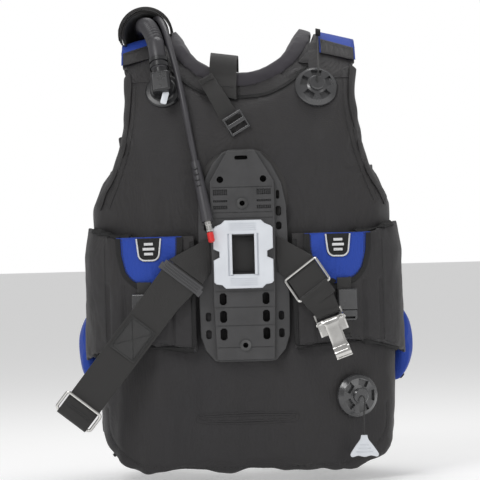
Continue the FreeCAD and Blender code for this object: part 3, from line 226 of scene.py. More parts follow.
def surfaced(name, group, deep, raised, rough, relief, fine=None, place="Object", **sockets):
    """A finish: the shader with its fixed sockets, fed by one of the surface groups."""
    finish = bpy.data.materials.new(name)
    finish.use_nodes = True
    tree = finish.node_tree
    shader = tree.nodes["Principled BSDF"]
    for label, value in sockets.items():
        shader.inputs[socket_names[label]].default_value = value
    where = tree.nodes.new("ShaderNodeTexCoord")
    surface = tree.nodes.new("ShaderNodeGroup")
    surface.node_tree = group
    for label, value in (("Deep", (*deep, 1)), ("Raised", (*raised, 1)), ("Least rough", rough[0]),
                         ("Most rough", rough[1])):
        surface.inputs[label].default_value = value
    if fine:
        surface.inputs[-1].default_value = fine
    bump = tree.nodes.new("ShaderNodeBump")
    bump.inputs["Distance"].default_value = relief
    tree.links.new(where.outputs[place], surface.inputs["Place"])
    tree.links.new(surface.outputs["Colour"], shader.inputs["Base Color"])
    tree.links.new(surface.outputs["Roughness"], shader.inputs["Roughness"])
    tree.links.new(surface.outputs["Relief"], bump.inputs["Height"])
    tree.links.new(bump.outputs["Normal"], shader.inputs["Normal"])
    return finish


hose_rubber = surfaced("smooth_rubber", grain, (0.03, 0.029, 0.033), (0.05, 0.048, 0.054), (0.36, 0.5),
                       8e-05, 700.0, specular=0.5, coat=0.1, coat_rough=0.3)


def metres(points):
    return [Vector(point) * 0.001 for point in points]


def laid_curve(name, route, thickness):
    """A round cord along the smooth line that a route's points pull it to."""
    curve = bpy.data.curves.new(name, "CURVE")
    curve.dimensions = "3D"
    spline = curve.splines.new("NURBS")
    spline.points.add(len(route) - 1)
    for pull, point in zip(spline.points, metres(route)):
        pull.co = (*point, 1.0)
    spline.order_u = 3
    spline.use_endpoint_u = True
    spline.resolution_u = 12
    curve.bevel_depth = thickness * 0.0005
    curve.bevel_resolution = 6
    curve.use_fill_caps = thickness > 0
    made = bpy.data.objects.new(name, curve)
    bpy.context.scene.collection.objects.link(made)
    return made


low_pressure_route = [(-105, 301, 165.1), (-104.5, 302, 204), (-106, 292, 246), (-110, 269, 296),
                      (-115, 234, 341), (-120, 192, 367), (-123.5, 147, 376.5), (-115, 103, 376),
                      (-106.5, 74, 360), (-98.5, 54, 331), (-89, 38, 294), (-80.5, 21, 250),
                      (-74.3, 14, 213), (-68.6, 13.4, 180.1), (-65.3, 9, 162)]
low_pressure_hose = laid_curve("low_pressure_hose", low_pressure_route, 8.8)
low_pressure_hose.data.materials.append(hose_rubber)
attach(low_pressure_hose, "root")
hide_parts("lp_hose")
nodes["hose_sleeve"].data.materials.clear()
nodes["hose_sleeve"].data.materials.append(hose_rubber)

# ---------------------------------------------------------------- corrugated breathing hose
# A ribbed rubber hose from the shoulder elbow over to the inflator on the chest. Both ends
# finish in a smooth cuff, pushed over a spigot and held by two clamp rings.


def along(line):
    """How far each point of a line is from its start."""
    gone = [0.0]
    for here, after in zip(line, line[1:]):
        gone.append(gone[-1] + (after - here).length)
    return gone


def place_on(line, gone, distance):
    """The point and the direction at a distance along a line."""
    index = 1
    while index < len(line) - 1 and gone[index] < distance:
        index += 1
    step = gone[index] - gone[index - 1]
    share = (distance - gone[index - 1]) / step
    return line[index - 1].lerp(line[index], share), (line[index] - line[index - 1]).normalized()


def ringed_tube(name, line, rings, sides):
    """A closed tube whose rings, each (distance along the line, radius), follow the line."""
    gone = along(line)
    point, way = place_on(line, gone, rings[0][0])
    across = way.orthogonal().normalized()
    frame_here = Matrix.Translation(point) @ Matrix((across, way.cross(across), way)).transposed().to_4x4()
    shape = bmesh.new()
    made = bmesh.ops.create_circle(shape, cap_ends=True, segments=sides, radius=rings[0][1],
                                   matrix=frame_here)
    edges = [edge for edge in shape.edges if len(edge.link_faces) == 1]
    size = rings[0][1]
    for distance, radius in rings[1:]:
        point, new_way = place_on(line, gone, distance)
        across = (across - new_way * across.dot(new_way)).normalized()
        frame_next = (Matrix.Translation(point)
                      @ Matrix((across, new_way.cross(across), new_way)).transposed().to_4x4())
        made = bmesh.ops.extrude_edge_only(shape, edges=edges)["geom"]
        ring = [part for part in made if isinstance(part, bmesh.types.BMVert)]
        edges = [part for part in made if isinstance(part, bmesh.types.BMEdge)
                 and part.verts[0] in ring and part.verts[1] in ring]
        bmesh.ops.transform(shape, verts=ring, matrix=frame_next @ Matrix.Scale(radius / size, 4)
                            @ frame_here.inverted())
        frame_here = frame_next
        size = radius
    bmesh.ops.contextual_create(shape, geom=edges)
    return finished_mesh(name, shape)


def finished_mesh(name, shape, smooth=True):
    """Closes a shape into a piece with outward faces."""
    bmesh.ops.recalc_face_normals(shape, faces=shape.faces)
    for face in shape.faces:
        face.smooth = smooth
    mesh = bpy.data.meshes.new(name)
    shape.to_mesh(mesh)
    shape.free()
    made = bpy.data.objects.new(name, mesh)
    bpy.context.scene.collection.objects.link(made)
    return made


def dressed(piece, finish, body, slot, *replaced):
    """Gives a new piece its finish, the body it rides on and the CAD nodes it stands for."""
    piece.data.materials.clear()
    piece.data.materials.append(finish)
    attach(piece, body)
    if replaced:
        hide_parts(*replaced)
    return piece


hose_start = Vector((-113.2, 33.34, 295.71))
hose_way = Vector((-0.0909, 0.4272, 0.8996))
hose_route = [tuple(hose_start), tuple(hose_start + hose_way * 43), (-128, 86, 361), (-137, 126, 368),
              (-141.5, 166, 365), (-142, 209, 346.5), (-139, 249, 308), (-133, 284, 247),
              (-128, 301, 192), (-128, 301, 148.1)]
guide = laid_curve("hose_guide", hose_route, 0)
hose_line = [vertex.co.copy() for vertex in bpy.data.meshes.new_from_object(guide).vertices]
bpy.data.objects.remove(guide)
hose_length = along(hose_line)[-1]
cuff = 0.050
cuff_radius = 0.0119
rib_pitch = 0.0052
rings = [(0.0, 0.0113), (0.0006, cuff_radius), (cuff - 0.008, cuff_radius), (cuff - 0.003, 0.0126)]
ribs = int((hose_length - cuff - 0.034) / rib_pitch)
for rib in range(ribs):
    foot = cuff + rib * rib_pitch
    for share, radius in ((0.0, 0.0105), (0.22, 0.0113), (0.40, 0.0127), (0.62, 0.0127), (0.80, 0.0113)):
        rings.append((foot + share * rib_pitch, radius))
rings += [(hose_length - 0.031, 0.0124), (hose_length - 0.026, cuff_radius),
          (hose_length - 0.0006, cuff_radius), (hose_length, 0.0113)]
breathing_hose = ringed_tube("breathing_hose", hose_line, rings, 40)
dressed(breathing_hose, hose_rubber, "root", "hose_rubber", "corrugated_hose")

# ---------------------------------------------------------------- pull cords of the dump valves
# Thin braided cords from the hub of each dump valve. The upper one goes over the right shoulder
# to a moulded pull on the chest, the lower one hangs from its valve to a pale moulded pull.

braid, start, end = new_surface("braided_cord", [])
strands = reckon(braid, "SINE", reckon(braid, "MULTIPLY", cloud(braid, start.outputs["Place"], 900.0, 1.0),
                                       9.0))
scuffs = cloud(braid, start.outputs["Place"], 260.0, 2.0)
give(braid, start, end, scuffs, scuffs, strands)
cord_finish = surfaced("black_braid", braid, (0.012, 0.012, 0.012), (0.035, 0.034, 0.034), (0.6, 0.8),
                       0.0003, sheen=0.15)
upper_hub = Vector((112.508, 28.013, 272.532))
upper_way = Vector((0.1054, -0.9006, 0.4216))
lower_hub = Vector((163.819, 9.704, -178.0))
lower_way = Vector((0.3842, -0.9232, 0.0))
upper_route = [tuple(upper_hub), tuple(upper_hub + upper_way * 14 + Vector((0, 0, 9))),
               (114.5, 50, 306), (116, 79, 331), (117, 117, 353.5), (117.5, 162, 358.5),
               (118, 206, 341), (118.5, 238, 311), (118.5, 263, 279), (118, 277.5, 262),
               (118, 277.5, 238)]
lower_route = [tuple(lower_hub), tuple(lower_hub + lower_way * 8 + Vector((0, 0, -1))),
               tuple(lower_hub + lower_way * 12.5 + Vector((-1.2, 0, -9.5))),
               tuple(lower_hub + lower_way * 12 + Vector((-3.5, 0, -28))),
               tuple(lower_hub + lower_way * 12 + Vector((-3.5, 0, -68)))]
for name, route, length, knob, node in (
        ("upper_pull_cord", upper_route, 0.357, "upper_dump_knob", "upper_dump_cord"),
        ("lower_pull_cord", lower_route, 0.075, "lower_dump_knob", "lower_dump_cord")):
    pull_cord = laid_curve(name, route, 2.2)
    dressed(pull_cord, cord_finish, "root", "cord", node)

# ---------------------------------------------------------------- back bladder
# The large inflatable panel across the back and round the flanks, in heavy coated nylon, sewn
# along the armholes, the flanks and the hem, with a stitched slot shape low on the back.

cloth, start, end = new_surface("coated_nylon", [("NodeSocketFloat", "Threads", 3600.0)])
spot = cloth.nodes.new("ShaderNodeVectorMath")
spot.operation = "SCALE"
cloth.links.new(start.outputs["Place"], spot.inputs[0])
cloth.links.new(start.outputs["Threads"], spot.inputs["Scale"])
axes = cloth.nodes.new("ShaderNodeSeparateXYZ")
cloth.links.new(spot.outputs["Vector"], axes.inputs[0])
waves = [reckon(cloth, "SINE", axis) for axis in axes.outputs]
threads = reckon(cloth, "ADD", reckon(cloth, "MULTIPLY", waves[0], waves[2]),
                 reckon(cloth, "MULTIPLY", waves[1], reckon(cloth, "ADD", waves[0], waves[2])))
mottle = cloud(cloth, start.outputs["Place"], 7.5, 4.0)
fuzz = cloud(cloth, start.outputs["Place"], 420.0, 2.0)
# the colour is a little darker in the hollows of the weave and lighter on the raised threads: painted
# shade, on top of a random mottle and fuzz of tone
shade = reckon(cloth, "ADD", reckon(cloth, "MULTIPLY", threads, 0.08),
               reckon(cloth, "ADD", reckon(cloth, "MULTIPLY", mottle, 0.7),
                      reckon(cloth, "MULTIPLY", fuzz, 0.3)))
give(cloth, start, end, shade, mottle, threads)

shell_nylon = surfaced("black_coated_nylon", cloth, (0.0125, 0.01, 0.0085), (0.03, 0.0295, 0.033),
                       (0.44, 0.66), 0.0001, specular=0.42, sheen=0.08, sheen_rough=0.4)
trim_nylon = surfaced("black_binding", cloth, (0.008, 0.008, 0.008), (0.018, 0.0175, 0.018), (0.6, 0.75),
                      0.0002, 2600.0, specular=0.35)
thread_finish = surfaced("sewing_thread", cloth, (0.03, 0.03, 0.03), (0.07, 0.07, 0.07), (0.5, 0.6), 0.0001,
                         9000.0, specular=0.4)


def own_copy(node, name):
    """A separate piece with the shape of a CAD node, its triangles joined up."""
    shape = bmesh.new()
    shape.from_mesh(nodes[node].data)
    bmesh.ops.remove_doubles(shape, verts=shape.verts, dist=1e-5)
    return finished_mesh(name, shape)


def settled(piece):
    """Makes what a piece's modifiers give into its own mesh."""
    shown = piece.evaluated_get(bpy.context.evaluated_depsgraph_get())
    mesh = bpy.data.meshes.new_from_object(shown)
    piece.modifiers.clear()
    piece.data = mesh
    return piece


def stuffed(piece, voxel, cap, pressure=4.0, smoothing=0):
    """Swells a padded piece: an even mesh, a cloth under pressure, and a limit to how far it moves."""
    remesh = piece.modifiers.new("even", "REMESH")
    remesh.mode = "VOXEL"
    remesh.voxel_size = voxel
    remesh.use_smooth_shade = True
    settled(piece)
    shape = bmesh.new()
    shape.from_mesh(piece.data)
    for _ in range(smoothing):
        bmesh.ops.smooth_vert(shape, verts=shape.verts, factor=0.5, use_axis_x=True, use_axis_y=True,
                              use_axis_z=True)
    shape.normal_update()
    slack = 0.45
    for vertex in shape.verts:
        vertex.co -= vertex.normal * cap * slack
    shape.to_mesh(piece.data)
    shape.free()
    rest = [vertex.co.copy() for vertex in piece.data.vertices]
    swell = piece.modifiers.new("swell", "CLOTH")
    swell.settings.quality = 3
    swell.settings.mass = 0.3
    swell.settings.tension_stiffness = 12
    swell.settings.compression_stiffness = 12
    swell.settings.bending_stiffness = 1.5
    swell.settings.use_pressure = True
    swell.settings.uniform_pressure_force = pressure
    swell.settings.effector_weights.gravity = 0.0
    for step in range(1, 21):
        bpy.context.scene.frame_set(step)
    settled(piece)
    bpy.context.scene.frame_set(1)
    for vertex, before in zip(piece.data.vertices, rest):
        move = vertex.co - before
        if move.length > cap:
            vertex.co = before + move * (cap / move.length)
    finer = piece.modifiers.new("finer", "SUBSURF")
    finer.levels = 1
    finer.render_levels = 1
    settled(piece)
    for face in piece.data.polygons:
        face.use_smooth = True
    return piece


def surface_of(piece):
    """The piece's surface, to lay trims on."""
    shape = bmesh.new()
    shape.from_mesh(piece.data)
    tree = BVHTree.FromBMesh(shape)
    shape.free()
    return tree


def smoothed(corners, steps):
    """A flowing line through corner points (Catmull-Rom)."""
    points = []
    ends = [corners[0]] + list(corners) + [corners[-1]]
    for a, b, c, d in zip(ends, ends[1:], ends[2:], ends[3:]):
        for step in range(steps):
            t = step / steps
            points.append(tuple(0.5 * (2 * q + (r - p) * t + (2 * p - 5 * q + 4 * r - s) * t * t
                                       + (3 * q - p - 3 * r + s) * t ** 3)
                                for p, q, r, s in zip(a, b, c, d)))
    points.append(tuple(corners[-1]))
    return points


def struck(tree, shots, lift):
    """Where straight lines, each (start, way), meet a surface."""
    found = []
    for start, way in shots:
        spot, normal = tree.ray_cast(start, way)[:2]
        if spot is not None:
            found.append((spot + normal * lift, normal))
    return found


def traced(tree, line, side=-1, lift=0.0):
    """Where a line in (x, z) millimetres falls on a surface seen from behind (-1) or in front (1)."""
    way = Vector((0, -side, 0))
    return struck(tree, [(Vector((x * 0.001, side, z * 0.001)), way) for x, z in line], lift)


def along_edge(tree, line, lift=0.0):
    """Where an edge line falls on a surface seen from behind, moved inwards where it runs off the cloth."""
    found = []
    for x, z in line:
        for step in range(19):
            hit = traced(tree, [(x - math.copysign(step, x), z)], lift=lift)
            if hit and hit[0][1].y < -0.35:
                found += hit
                break
    for _ in range(6):
        found = [found[0]] + [((a[0] + b[0] * 2 + c[0]) * 0.25, (a[1] + b[1] * 2 + c[1]).normalized())
                              for a, b, c in zip(found, found[1:], found[2:])] + [found[-1]]
    return found


def tape(name, stations, thick, finish, body, slot, replaced=(), lanes=4, arch=0.0, bevel=0.0004):
    """Flat woven tape through stations (one edge, other edge, outward way); its UV map is in metres."""
    shape = bmesh.new()
    across = shape.loops.layers.uv.new("tape")
    distance = [0.0]
    for (a, b, _), (c, d, _) in zip(stations, stations[1:]):
        distance.append(distance[-1] + ((Vector(c) + Vector(d)) - (Vector(a) + Vector(b))).length / 2)
    where = {}

    def row(station, verts):
        one, other, outward = stations[station]
        width = (Vector(other) - Vector(one)).length
        for lane, vertex in enumerate(verts):
            share = lane / lanes
            vertex.co = Vector(one).lerp(Vector(other), share) + Vector(outward).normalized() * (
                arch * (1 - (2 * share - 1) ** 2))
            where[vertex] = (share * width, distance[station])

    first = [shape.verts.new() for lane in range(lanes + 1)]
    edges = [shape.edges.new(pair) for pair in zip(first, first[1:])]
    row(0, first)
    for station in range(1, len(stations)):
        made = bmesh.ops.extrude_edge_only(shape, edges=edges)["geom"]
        edges = [part for part in made if isinstance(part, bmesh.types.BMEdge)
                 and all(vertex not in where for vertex in part.verts)]
        fresh = []
        for part in edges:
            for vertex in part.verts:
                if vertex not in fresh:
                    fresh.append(vertex)
        fresh.sort(key=lambda vertex: lane_of(vertex, where))
        row(station, fresh)
    for face in shape.faces:
        for loop in face.loops:
            loop[across].uv = where[loop.vert]
    outward = Vector(stations[0][2])
    first_face = next(iter(shape.faces))
    first_face.normal_update()
    if first_face.normal.dot(outward) < 0:
        bmesh.ops.reverse_faces(shape, faces=shape.faces)
    for face in shape.faces:
        face.smooth = True
    mesh = bpy.data.meshes.new(name)
    shape.to_mesh(mesh)
    shape.free()
    made = bpy.data.objects.new(name, mesh)
    bpy.context.scene.collection.objects.link(made)
    wall = made.modifiers.new("wall", "SOLIDIFY")
    wall.thickness = thick
    wall.offset = 1.0
    if bevel:
        edge = made.modifiers.new("edge", "BEVEL")
        edge.width = min(bevel, thick * 0.45)
        edge.segments = 2
        edge.limit_method = "ANGLE"
        edge.angle_limit = math.radians(50)
    settled(made)
    return dressed(made, finish, body, slot, *replaced)


def lane_of(vertex, where):
    """Which lane of the tape a new point starts from, by the older point it was drawn out of."""
    for edge in vertex.link_edges:
        older = edge.other_vert(vertex)
        if older in where:
            return where[older][0]
    return 0.0


def beside(trace, width, closed=False):
    """Stations for a tape of the given width, centred on a trace."""
    stations = []
    count = len(trace)
    for index, (spot, normal) in enumerate(trace):
        before = trace[index - 1][0] if index or closed else spot
        after = trace[(index + 1) % count][0] if index < count - 1 or closed else spot
        side = (after - before).normalized().cross(normal).normalized() * width * 0.5
        stations.append((spot - side, spot + side, normal))
    if closed:
        stations.append(stations[0])
    return stations


def block(shape, place, sides):
    """Adds a box with the given sides to a shape."""
    bmesh.ops.create_cube(shape, size=1.0, matrix=place @ Matrix.Diagonal((*sides, 1)))


def rounded(shape, edges, offset, segments):
    bmesh.ops.bevel(shape, geom=edges, offset=offset, segments=segments, affect="EDGES", profile=0.5,
                    material=-1)


def stitched(name, trace, body="root", slot="shell_fabric", pitch=0.0042, length=0.0030, thick=0.0007):
    """A row of stitches along a trace: small raised threads with gaps."""
    shape = bmesh.new()
    spots = [spot for spot, normal in trace]
    gone = along(spots)
    distance = pitch * 0.5
    while distance < gone[-1]:
        point, way = place_on(spots, gone, distance)
        index = min(range(len(gone)), key=lambda near: abs(gone[near] - distance))
        normal = trace[index][1]
        side = way.cross(normal).normalized()
        frame_here = Matrix((way, side, way.cross(side))).transposed().to_4x4()
        block(shape, Matrix.Translation(point + normal * thick * 0.2) @ frame_here, (length, thick, thick))
        distance += pitch
    return dressed(finished_mesh(name, shape), thread_finish, body, slot)


def creased(piece, depth, scale, seed, stretch=(1, 1, 1), reach=lambda co: 1.0):
    """Moves a fine mesh in and out along its normals in long soft folds; reach says where and how much."""
    shape = bmesh.new()
    shape.from_mesh(piece.data)
    shape.normal_update()
    moves = []
    for vertex in shape.verts:
        spot = Vector((vertex.co.x * stretch[0], vertex.co.y * stretch[1], vertex.co.z * stretch[2]))
        fold = noise.noise(spot * scale + Vector((seed, 0, 0)))
        fold += 0.45 * noise.noise(spot * scale * 2.3 + Vector((0, seed, 0)))
        moves.append(vertex.normal * fold * depth * reach(vertex.co))
    for vertex, move in zip(shape.verts, moves):
        vertex.co += move
    shape.to_mesh(piece.data)
    shape.free()
    return piece


def pressed(piece, lines, width, depth, side=-1):
    """Sinks narrow grooves into a fine mesh under seam lines given in (x, z) millimetres."""
    spots = [Vector((x * 0.001, z * 0.001)) for line in lines for x, z in line]
    shape = bmesh.new()
    shape.from_mesh(piece.data)
    shape.normal_update()
    near = {}
    cell = width * 1.5
    for spot in spots:
        near.setdefault((int(spot.x // cell), int(spot.y // cell)), []).append(spot)
    for vertex in shape.verts:
        if vertex.normal.y * side <= 0.1:
            continue
        here = Vector((vertex.co.x, vertex.co.z))
        column, row = int(here.x // cell), int(here.y // cell)
        close = [spot for a in (-1, 0, 1) for b in (-1, 0, 1)
                 for spot in near.get((column + a, row + b), ())]
        if close:
            gap = min((spot - here).length for spot in close)
            if gap < width:
                vertex.co -= vertex.normal * depth * (0.5 + 0.5 * math.cos(math.pi * gap / width))
    shape.to_mesh(piece.data)
    shape.free()
    return piece


def both_sides(line):
    return [line, [(-x, z) for x, z in line]]


back_bladder = stuffed(own_copy("back_panel", "back_bladder"), 0.0055, 0.006, 3.0, smoothing=2)


def back_folds(co):
    """Folds are deepest low on the back and round the waist, and fade towards the shoulders."""
    low = max(0.0, min(1.0, (0.14 - co.z) / 0.20))
    return 0.5 + 0.5 * low


creased(back_bladder, 0.008, 11.0, 3.1, stretch=(1.6, 1.0, 0.5), reach=back_folds)
creased(back_bladder, 0.002, 24.0, 8.4, stretch=(1.2, 1.0, 0.7), reach=back_folds)
armhole_line = smoothed([(172, 338), (168, 300), (166.5, 262), (168, 232), (174, 196), (184, 160),
                         (197, 126), (208, 101)], 8)
inner_armhole = [(x - 17, z) for x, z in armhole_line]
hem_line = smoothed([(-202, -190), (-198, -232), (-170, -262), (-140, -273), (-70, -276.5), (0, -277),
                     (70, -276.5), (140, -273), (170, -262), (198, -232), (202, -190)], 8)
neck_seam = smoothed([(0, 257), (36, 260.5), (66, 274), (90, 295), (104, 316), (109, 334)], 8)
pressed(back_bladder, both_sides(inner_armhole) + [hem_line] + both_sides(neck_seam), 0.0045, 0.0013)
dressed(back_bladder, shell_nylon, "root", "shell_fabric", "back_panel")
back_surface = surface_of(back_bladder)

for side, mark in mirrored:
    edge_line = [(side * x, z) for x, z in armhole_line]
    tape("armhole_binding_" + mark, beside(along_edge(back_surface, edge_line, lift=-0.0004), 0.016),
         0.0018, shell_nylon, "root", "shell_fabric", arch=0.0012)
    stitched("armhole_stitches_" + mark, along_edge(back_surface,
                                                    [(side * (x - 10), z) for x, z in armhole_line]))
    stitched("side_seam_" + mark, traced(back_surface, [(side * x, z) for x, z in inner_armhole],
                                         lift=0.0002))
stitched("hem_stitches", traced(back_surface, hem_line))
slot_shape = smoothed([(-69, -200), (-72, -204), (-71, -209), (-66, -211), (-33, -213), (0, -213.5),
                       (33, -213), (66, -211), (71, -209), (72, -204), (69, -200), (33, -198.6),
                       (0, -198.4), (-33, -198.6), (-69, -200)], 5)
for mark, swell in (("outer", 1.0), ("inner", 0.55)):
    rim = [(x * (0.97 if swell < 1 else 1.0), -206 + (z + 206) * swell) for x, z in slot_shape]
    tape("back_slot_" + mark, beside(traced(back_surface, rim[:-1], lift=-0.0002), 0.0022, closed=True),
         0.0008, shell_nylon, "root", "shell_fabric", lanes=2, arch=0.0003)

# ---------------------------------------------------------------- shoulders and their coloured facings
# Padded shoulder yokes that carry on from the back panel over to the chest, in the same nylon.
# A blue facing with a black binding is sewn over the top of each, in front of the collar.

shoulder_tops = {}
for side, mark in mirrored:
    shoulder = stuffed(own_copy(mark + "_shoulder", "shoulder_pad_" + mark), 0.005, 0.004, 3.0, smoothing=1)
    creased(shoulder, 0.0009, 22.0, 5.0 + side)
    dressed(shoulder, shell_nylon, "root", "shell_fabric", mark + "_shoulder")
    shoulder_tops[mark] = surface_of(shoulder)
    # a yoke strip that covers the join with the back panel
    yoke = []
    for x in range(92, 171, 3):
        low = traced(back_surface, [(side * x, 279)], lift=-0.0006)
        high = traced(shoulder_tops[mark], [(side * x, 322)], lift=-0.0006)
        if low and high:
            yoke.append((low[0][0], high[0][0], Vector((0, -1, 0.25))))
    tape("shoulder_yoke_" + mark, yoke, 0.0014, shell_nylon, "root", "shell_fabric", lanes=6, arch=0.0012)
    front_edge = traced(shoulder_tops[mark], smoothed([(side * 170, 336), (side * 166, 300),
                                                       (side * 164, 262), (side * 165, 232)], 8), side=1,
                        lift=-0.0004)
    tape("front_armhole_binding_" + mark, beside(front_edge, 0.009), 0.0016, trim_nylon, "root",
         "shell_fabric", arch=0.0012)

facing_nylon = surfaced("blue_nylon", cloth, (0.01, 0.04, 0.3), (0.022, 0.075, 0.44), (0.5, 0.64), 0.00014,
                        3200.0, specular=0.32, sheen=0.05, sheen_rough=0.35)


def divided(piece, longest):
    """The piece's shape with its long edges cut up into short ones."""
    shape = bmesh.new()
    shape.from_mesh(piece.data)
    for _ in range(3):
        long_edges = [edge for edge in shape.edges if edge.calc_length() > longest]
        bmesh.ops.subdivide_edges(shape, edges=long_edges, cuts=1)
        bmesh.ops.triangulate(shape, faces=shape.faces)
    return shape


facings = own_copy("shoulder_patches", "shoulder_facings")
fine = divided(facings, 0.012)
fine.normal_update()
for vertex in fine.verts:
    vertex.co += vertex.normal * 0.0004 * noise.noise(vertex.co * 60.0)
fine.to_mesh(facings.data)
fine.free()
dressed(facings, facing_nylon, "root", "accent_fabric", "shoulder_patches")
facing_surface = surface_of(facings)
for side, mark in mirrored:
    hem = []
    for x, foot, top in ((120, 317, 338.5), (130, 315, 335.5), (140, 312.5, 332.5), (150, 310, 329.5),
                         (160, 307.5, 326.5), (167.8, 305.5, 324)):
        lowest = [hit for rise in range(18) for hit in traced(facing_surface,
                                                              [(side * x, foot - 10 + rise)])]
        upper = traced(facing_surface, [(side * x, top)])
        if lowest and upper:
            hem.append((lowest[0][0] + Vector((0, -0.0004, -0.0016)), upper[0][0], Vector((0, -1, 0.3))))
    tape("facing_binding_" + mark, hem, 0.0014, shell_nylon, "root", "shell_fabric", lanes=6, arch=0.0010)
    stitched("facing_stitches_" + mark, traced(facing_surface,
                                               smoothed([(side * 121, 335), (side * 144, 328),
                                                         (side * 167, 321)], 6), lift=0.0024))
    inner = []
    for x in range(98, 124, 3):
        ends = traced(shoulder_tops[mark], [(side * x, 341.5), (side * x, 351.5)], lift=0.0010)
        if len(ends) == 2:
            inner.append((ends[0][0], ends[1][0], Vector((0, -1, 0.5))))
    if len(inner) > 1:
        tape("facing_inner_" + mark, inner, 0.0012, facing_nylon, "root", "accent_fabric")

# ---------------------------------------------------------------- neck collar
# A rolled collar of laminated neoprene round the neck edge, softer and a little warmer in colour
# than the nylon, with a row of stitching along its lower seam.

foam, start, end = new_surface("laminated_neoprene", [])
knit = cloud(foam, start.outputs["Place"], 1500.0, 1.0)
bloom = cloud(foam, start.outputs["Place"], 24.0, 3.0)
give(foam, start, end, bloom, bloom, knit)
neoprene = surfaced("grey_neoprene", foam, (0.019, 0.017, 0.021), (0.036, 0.032, 0.04), (0.62, 0.8),
                    0.00012, specular=0.35, sheen=0.2, sheen_rough=0.5)
collar = stuffed(own_copy("neck_collar", "rolled_collar"), 0.004, 0.005, 5.0, smoothing=3)
creased(collar, 0.0007, 30.0, 2.0)
dressed(collar, neoprene, "root", "neoprene", "neck_collar")
collar_surface = surface_of(collar)
neck_height = 381.6


def round_neck(side, share):
    """The neck seam on one side, grown or shrunk from the middle of the neck opening."""
    return [(side * x * share, neck_height + (z - neck_height) * share) for x, z in neck_seam]


for side, mark in mirrored:
    tape("collar_seam_" + mark, beside(traced(back_surface, round_neck(side, 1.03)), 0.006), 0.0012,
         trim_nylon, "root", "neoprene", arch=0.0006)
    # the strip of nylon that the collar is sewn down on
    under = []
    rings_out = [round_neck(side, share) for share in (1.04, 1.08, 1.12)]
    for index, inner_spot in enumerate(round_neck(side, 0.88)):
        onto = [hit for surface in (back_surface, shoulder_tops[mark]) for ring in rings_out
                for hit in traced(surface, [ring[index]], lift=-0.002)]
        into = traced(collar_surface, [inner_spot], lift=-0.004)
        if onto and into:
            under.append((onto[0][0], into[0][0], Vector((0, -1, 0))))
    tape("collar_backing_" + mark, under, 0.0012, shell_nylon, "root", "shell_fabric")
    stitched("collar_stitches_" + mark, traced(back_surface, round_neck(side, 1.06)), "root", "neoprene")

# ---------------------------------------------------------------- hose retainer
# A stiff webbing arch that stands over the left shoulder, with a soft fold of neoprene below it,
# and keeps both hoses in place; a small rivet closes it.

retainer_cloth = surfaced("black_neoprene", foam, (0.012, 0.011, 0.011), (0.028, 0.026, 0.025), (0.5, 0.7),
                          0.00012, specular=0.4, sheen=0.2)
arch_foot = Vector((-134.84, 0, 353.77))
arch_radius = 36.4


def arch_point(turn, y, out=0):
    """A place on the arch: an angle from the left foot over the top to the right foot."""
    angle = math.radians(180 - turn)
    return Vector((arch_foot.x + (arch_radius + out) * math.cos(angle), y,
                   arch_foot.z + (arch_radius + out) * math.sin(angle))) * 0.001


def arch_way(turn, y=0):
    """The outward direction of the arch at an angle."""
    return (arch_point(turn, y, 1) - arch_point(turn, y)).normalized()


arch_stations = []
for turn in range(-20, 186, 4):
    lean = 2.0 * math.sin(math.radians(turn))
    arch_stations.append((arch_point(turn, 112 - lean), arch_point(turn, 154 + lean), arch_way(turn)))
tape("retainer_band", arch_stations, 0.0024, retainer_cloth, "root", "neoprene", ("hose_retainer",),
                 lanes=6, arch=0.0004)
for y, mark in ((113.4, "rear"), (152.6, "front")):
    edge_stations = [(arch_point(turn, y - 2.2, 2.0), arch_point(turn, y + 2.2, 2.0), arch_way(turn))
                     for turn in range(-14, 181, 4)]
    tape("retainer_edge_" + mark, edge_stations, 0.0014, trim_nylon, "root", "neoprene", arch=0.0005)

# the soft sleeve of neoprene that goes on from the arch, over the shoulder and down the chest
sleeve_shape = bmesh.new()
rim = []
for turn in range(-30, 211, 10):
    rim.append(sleeve_shape.verts.new(arch_point(turn, 116, -1.2)))
edges = [sleeve_shape.edges.new(pair) for pair in zip(rim, rim[1:])]
sleeve_steps = ((14, 0.5, 0.99), (14, 2.5, 0.98), (12, 6, 0.97), (12, 10, 0.96), (10, 14, 0.96),
                (8, 16, 0.97), (6, 16, 0.98))
for forward_by, down_by, gather in sleeve_steps:
    drawn_on = bmesh.ops.extrude_edge_only(sleeve_shape, edges=edges)["geom"]
    edges = [part for part in drawn_on if isinstance(part, bmesh.types.BMEdge) and part.is_boundary
             and all(vertex in drawn_on for vertex in part.verts)]
    fresh = [part for part in drawn_on if isinstance(part, bmesh.types.BMVert)]
    middle_x = arch_foot.x * 0.001
    middle_z = sum(vertex.co.z for vertex in fresh) / len(fresh)
    for vertex in fresh:
        vertex.co.x = middle_x + (vertex.co.x - middle_x) * gather
        vertex.co.z = middle_z + (vertex.co.z - middle_z) * gather - down_by * 0.001
        vertex.co.y += forward_by * 0.001
bmesh.ops.subdivide_edges(sleeve_shape, edges=sleeve_shape.edges, cuts=1, use_grid_fill=True)
hose_sleeve_cloth = finished_mesh("retainer_sleeve", sleeve_shape)
lining = hose_sleeve_cloth.modifiers.new("lining", "SOLIDIFY")
lining.thickness = 0.003
lining.offset = -1.0
settled(hose_sleeve_cloth)
creased(hose_sleeve_cloth, 0.001, 40.0, 14.0)
dressed(hose_sleeve_cloth, retainer_cloth, "root", "neoprene")

rivet = bmesh.new()
rivet_turn = arch_way(10, 118).to_track_quat("Z", "Y").to_matrix().to_4x4()
for out, radius in ((0.0030, 0.0046), (0.0038, 0.0026)):
    spot = arch_point(10, 118) + arch_way(10, 118) * out
    bmesh.ops.create_cone(rivet, cap_ends=True, segments=24, radius1=radius, radius2=radius * 0.8,
                          depth=0.0012, matrix=Matrix.Translation(spot) @ rivet_turn)
retainer_rivet = finished_mesh("retainer_rivet", rivet)

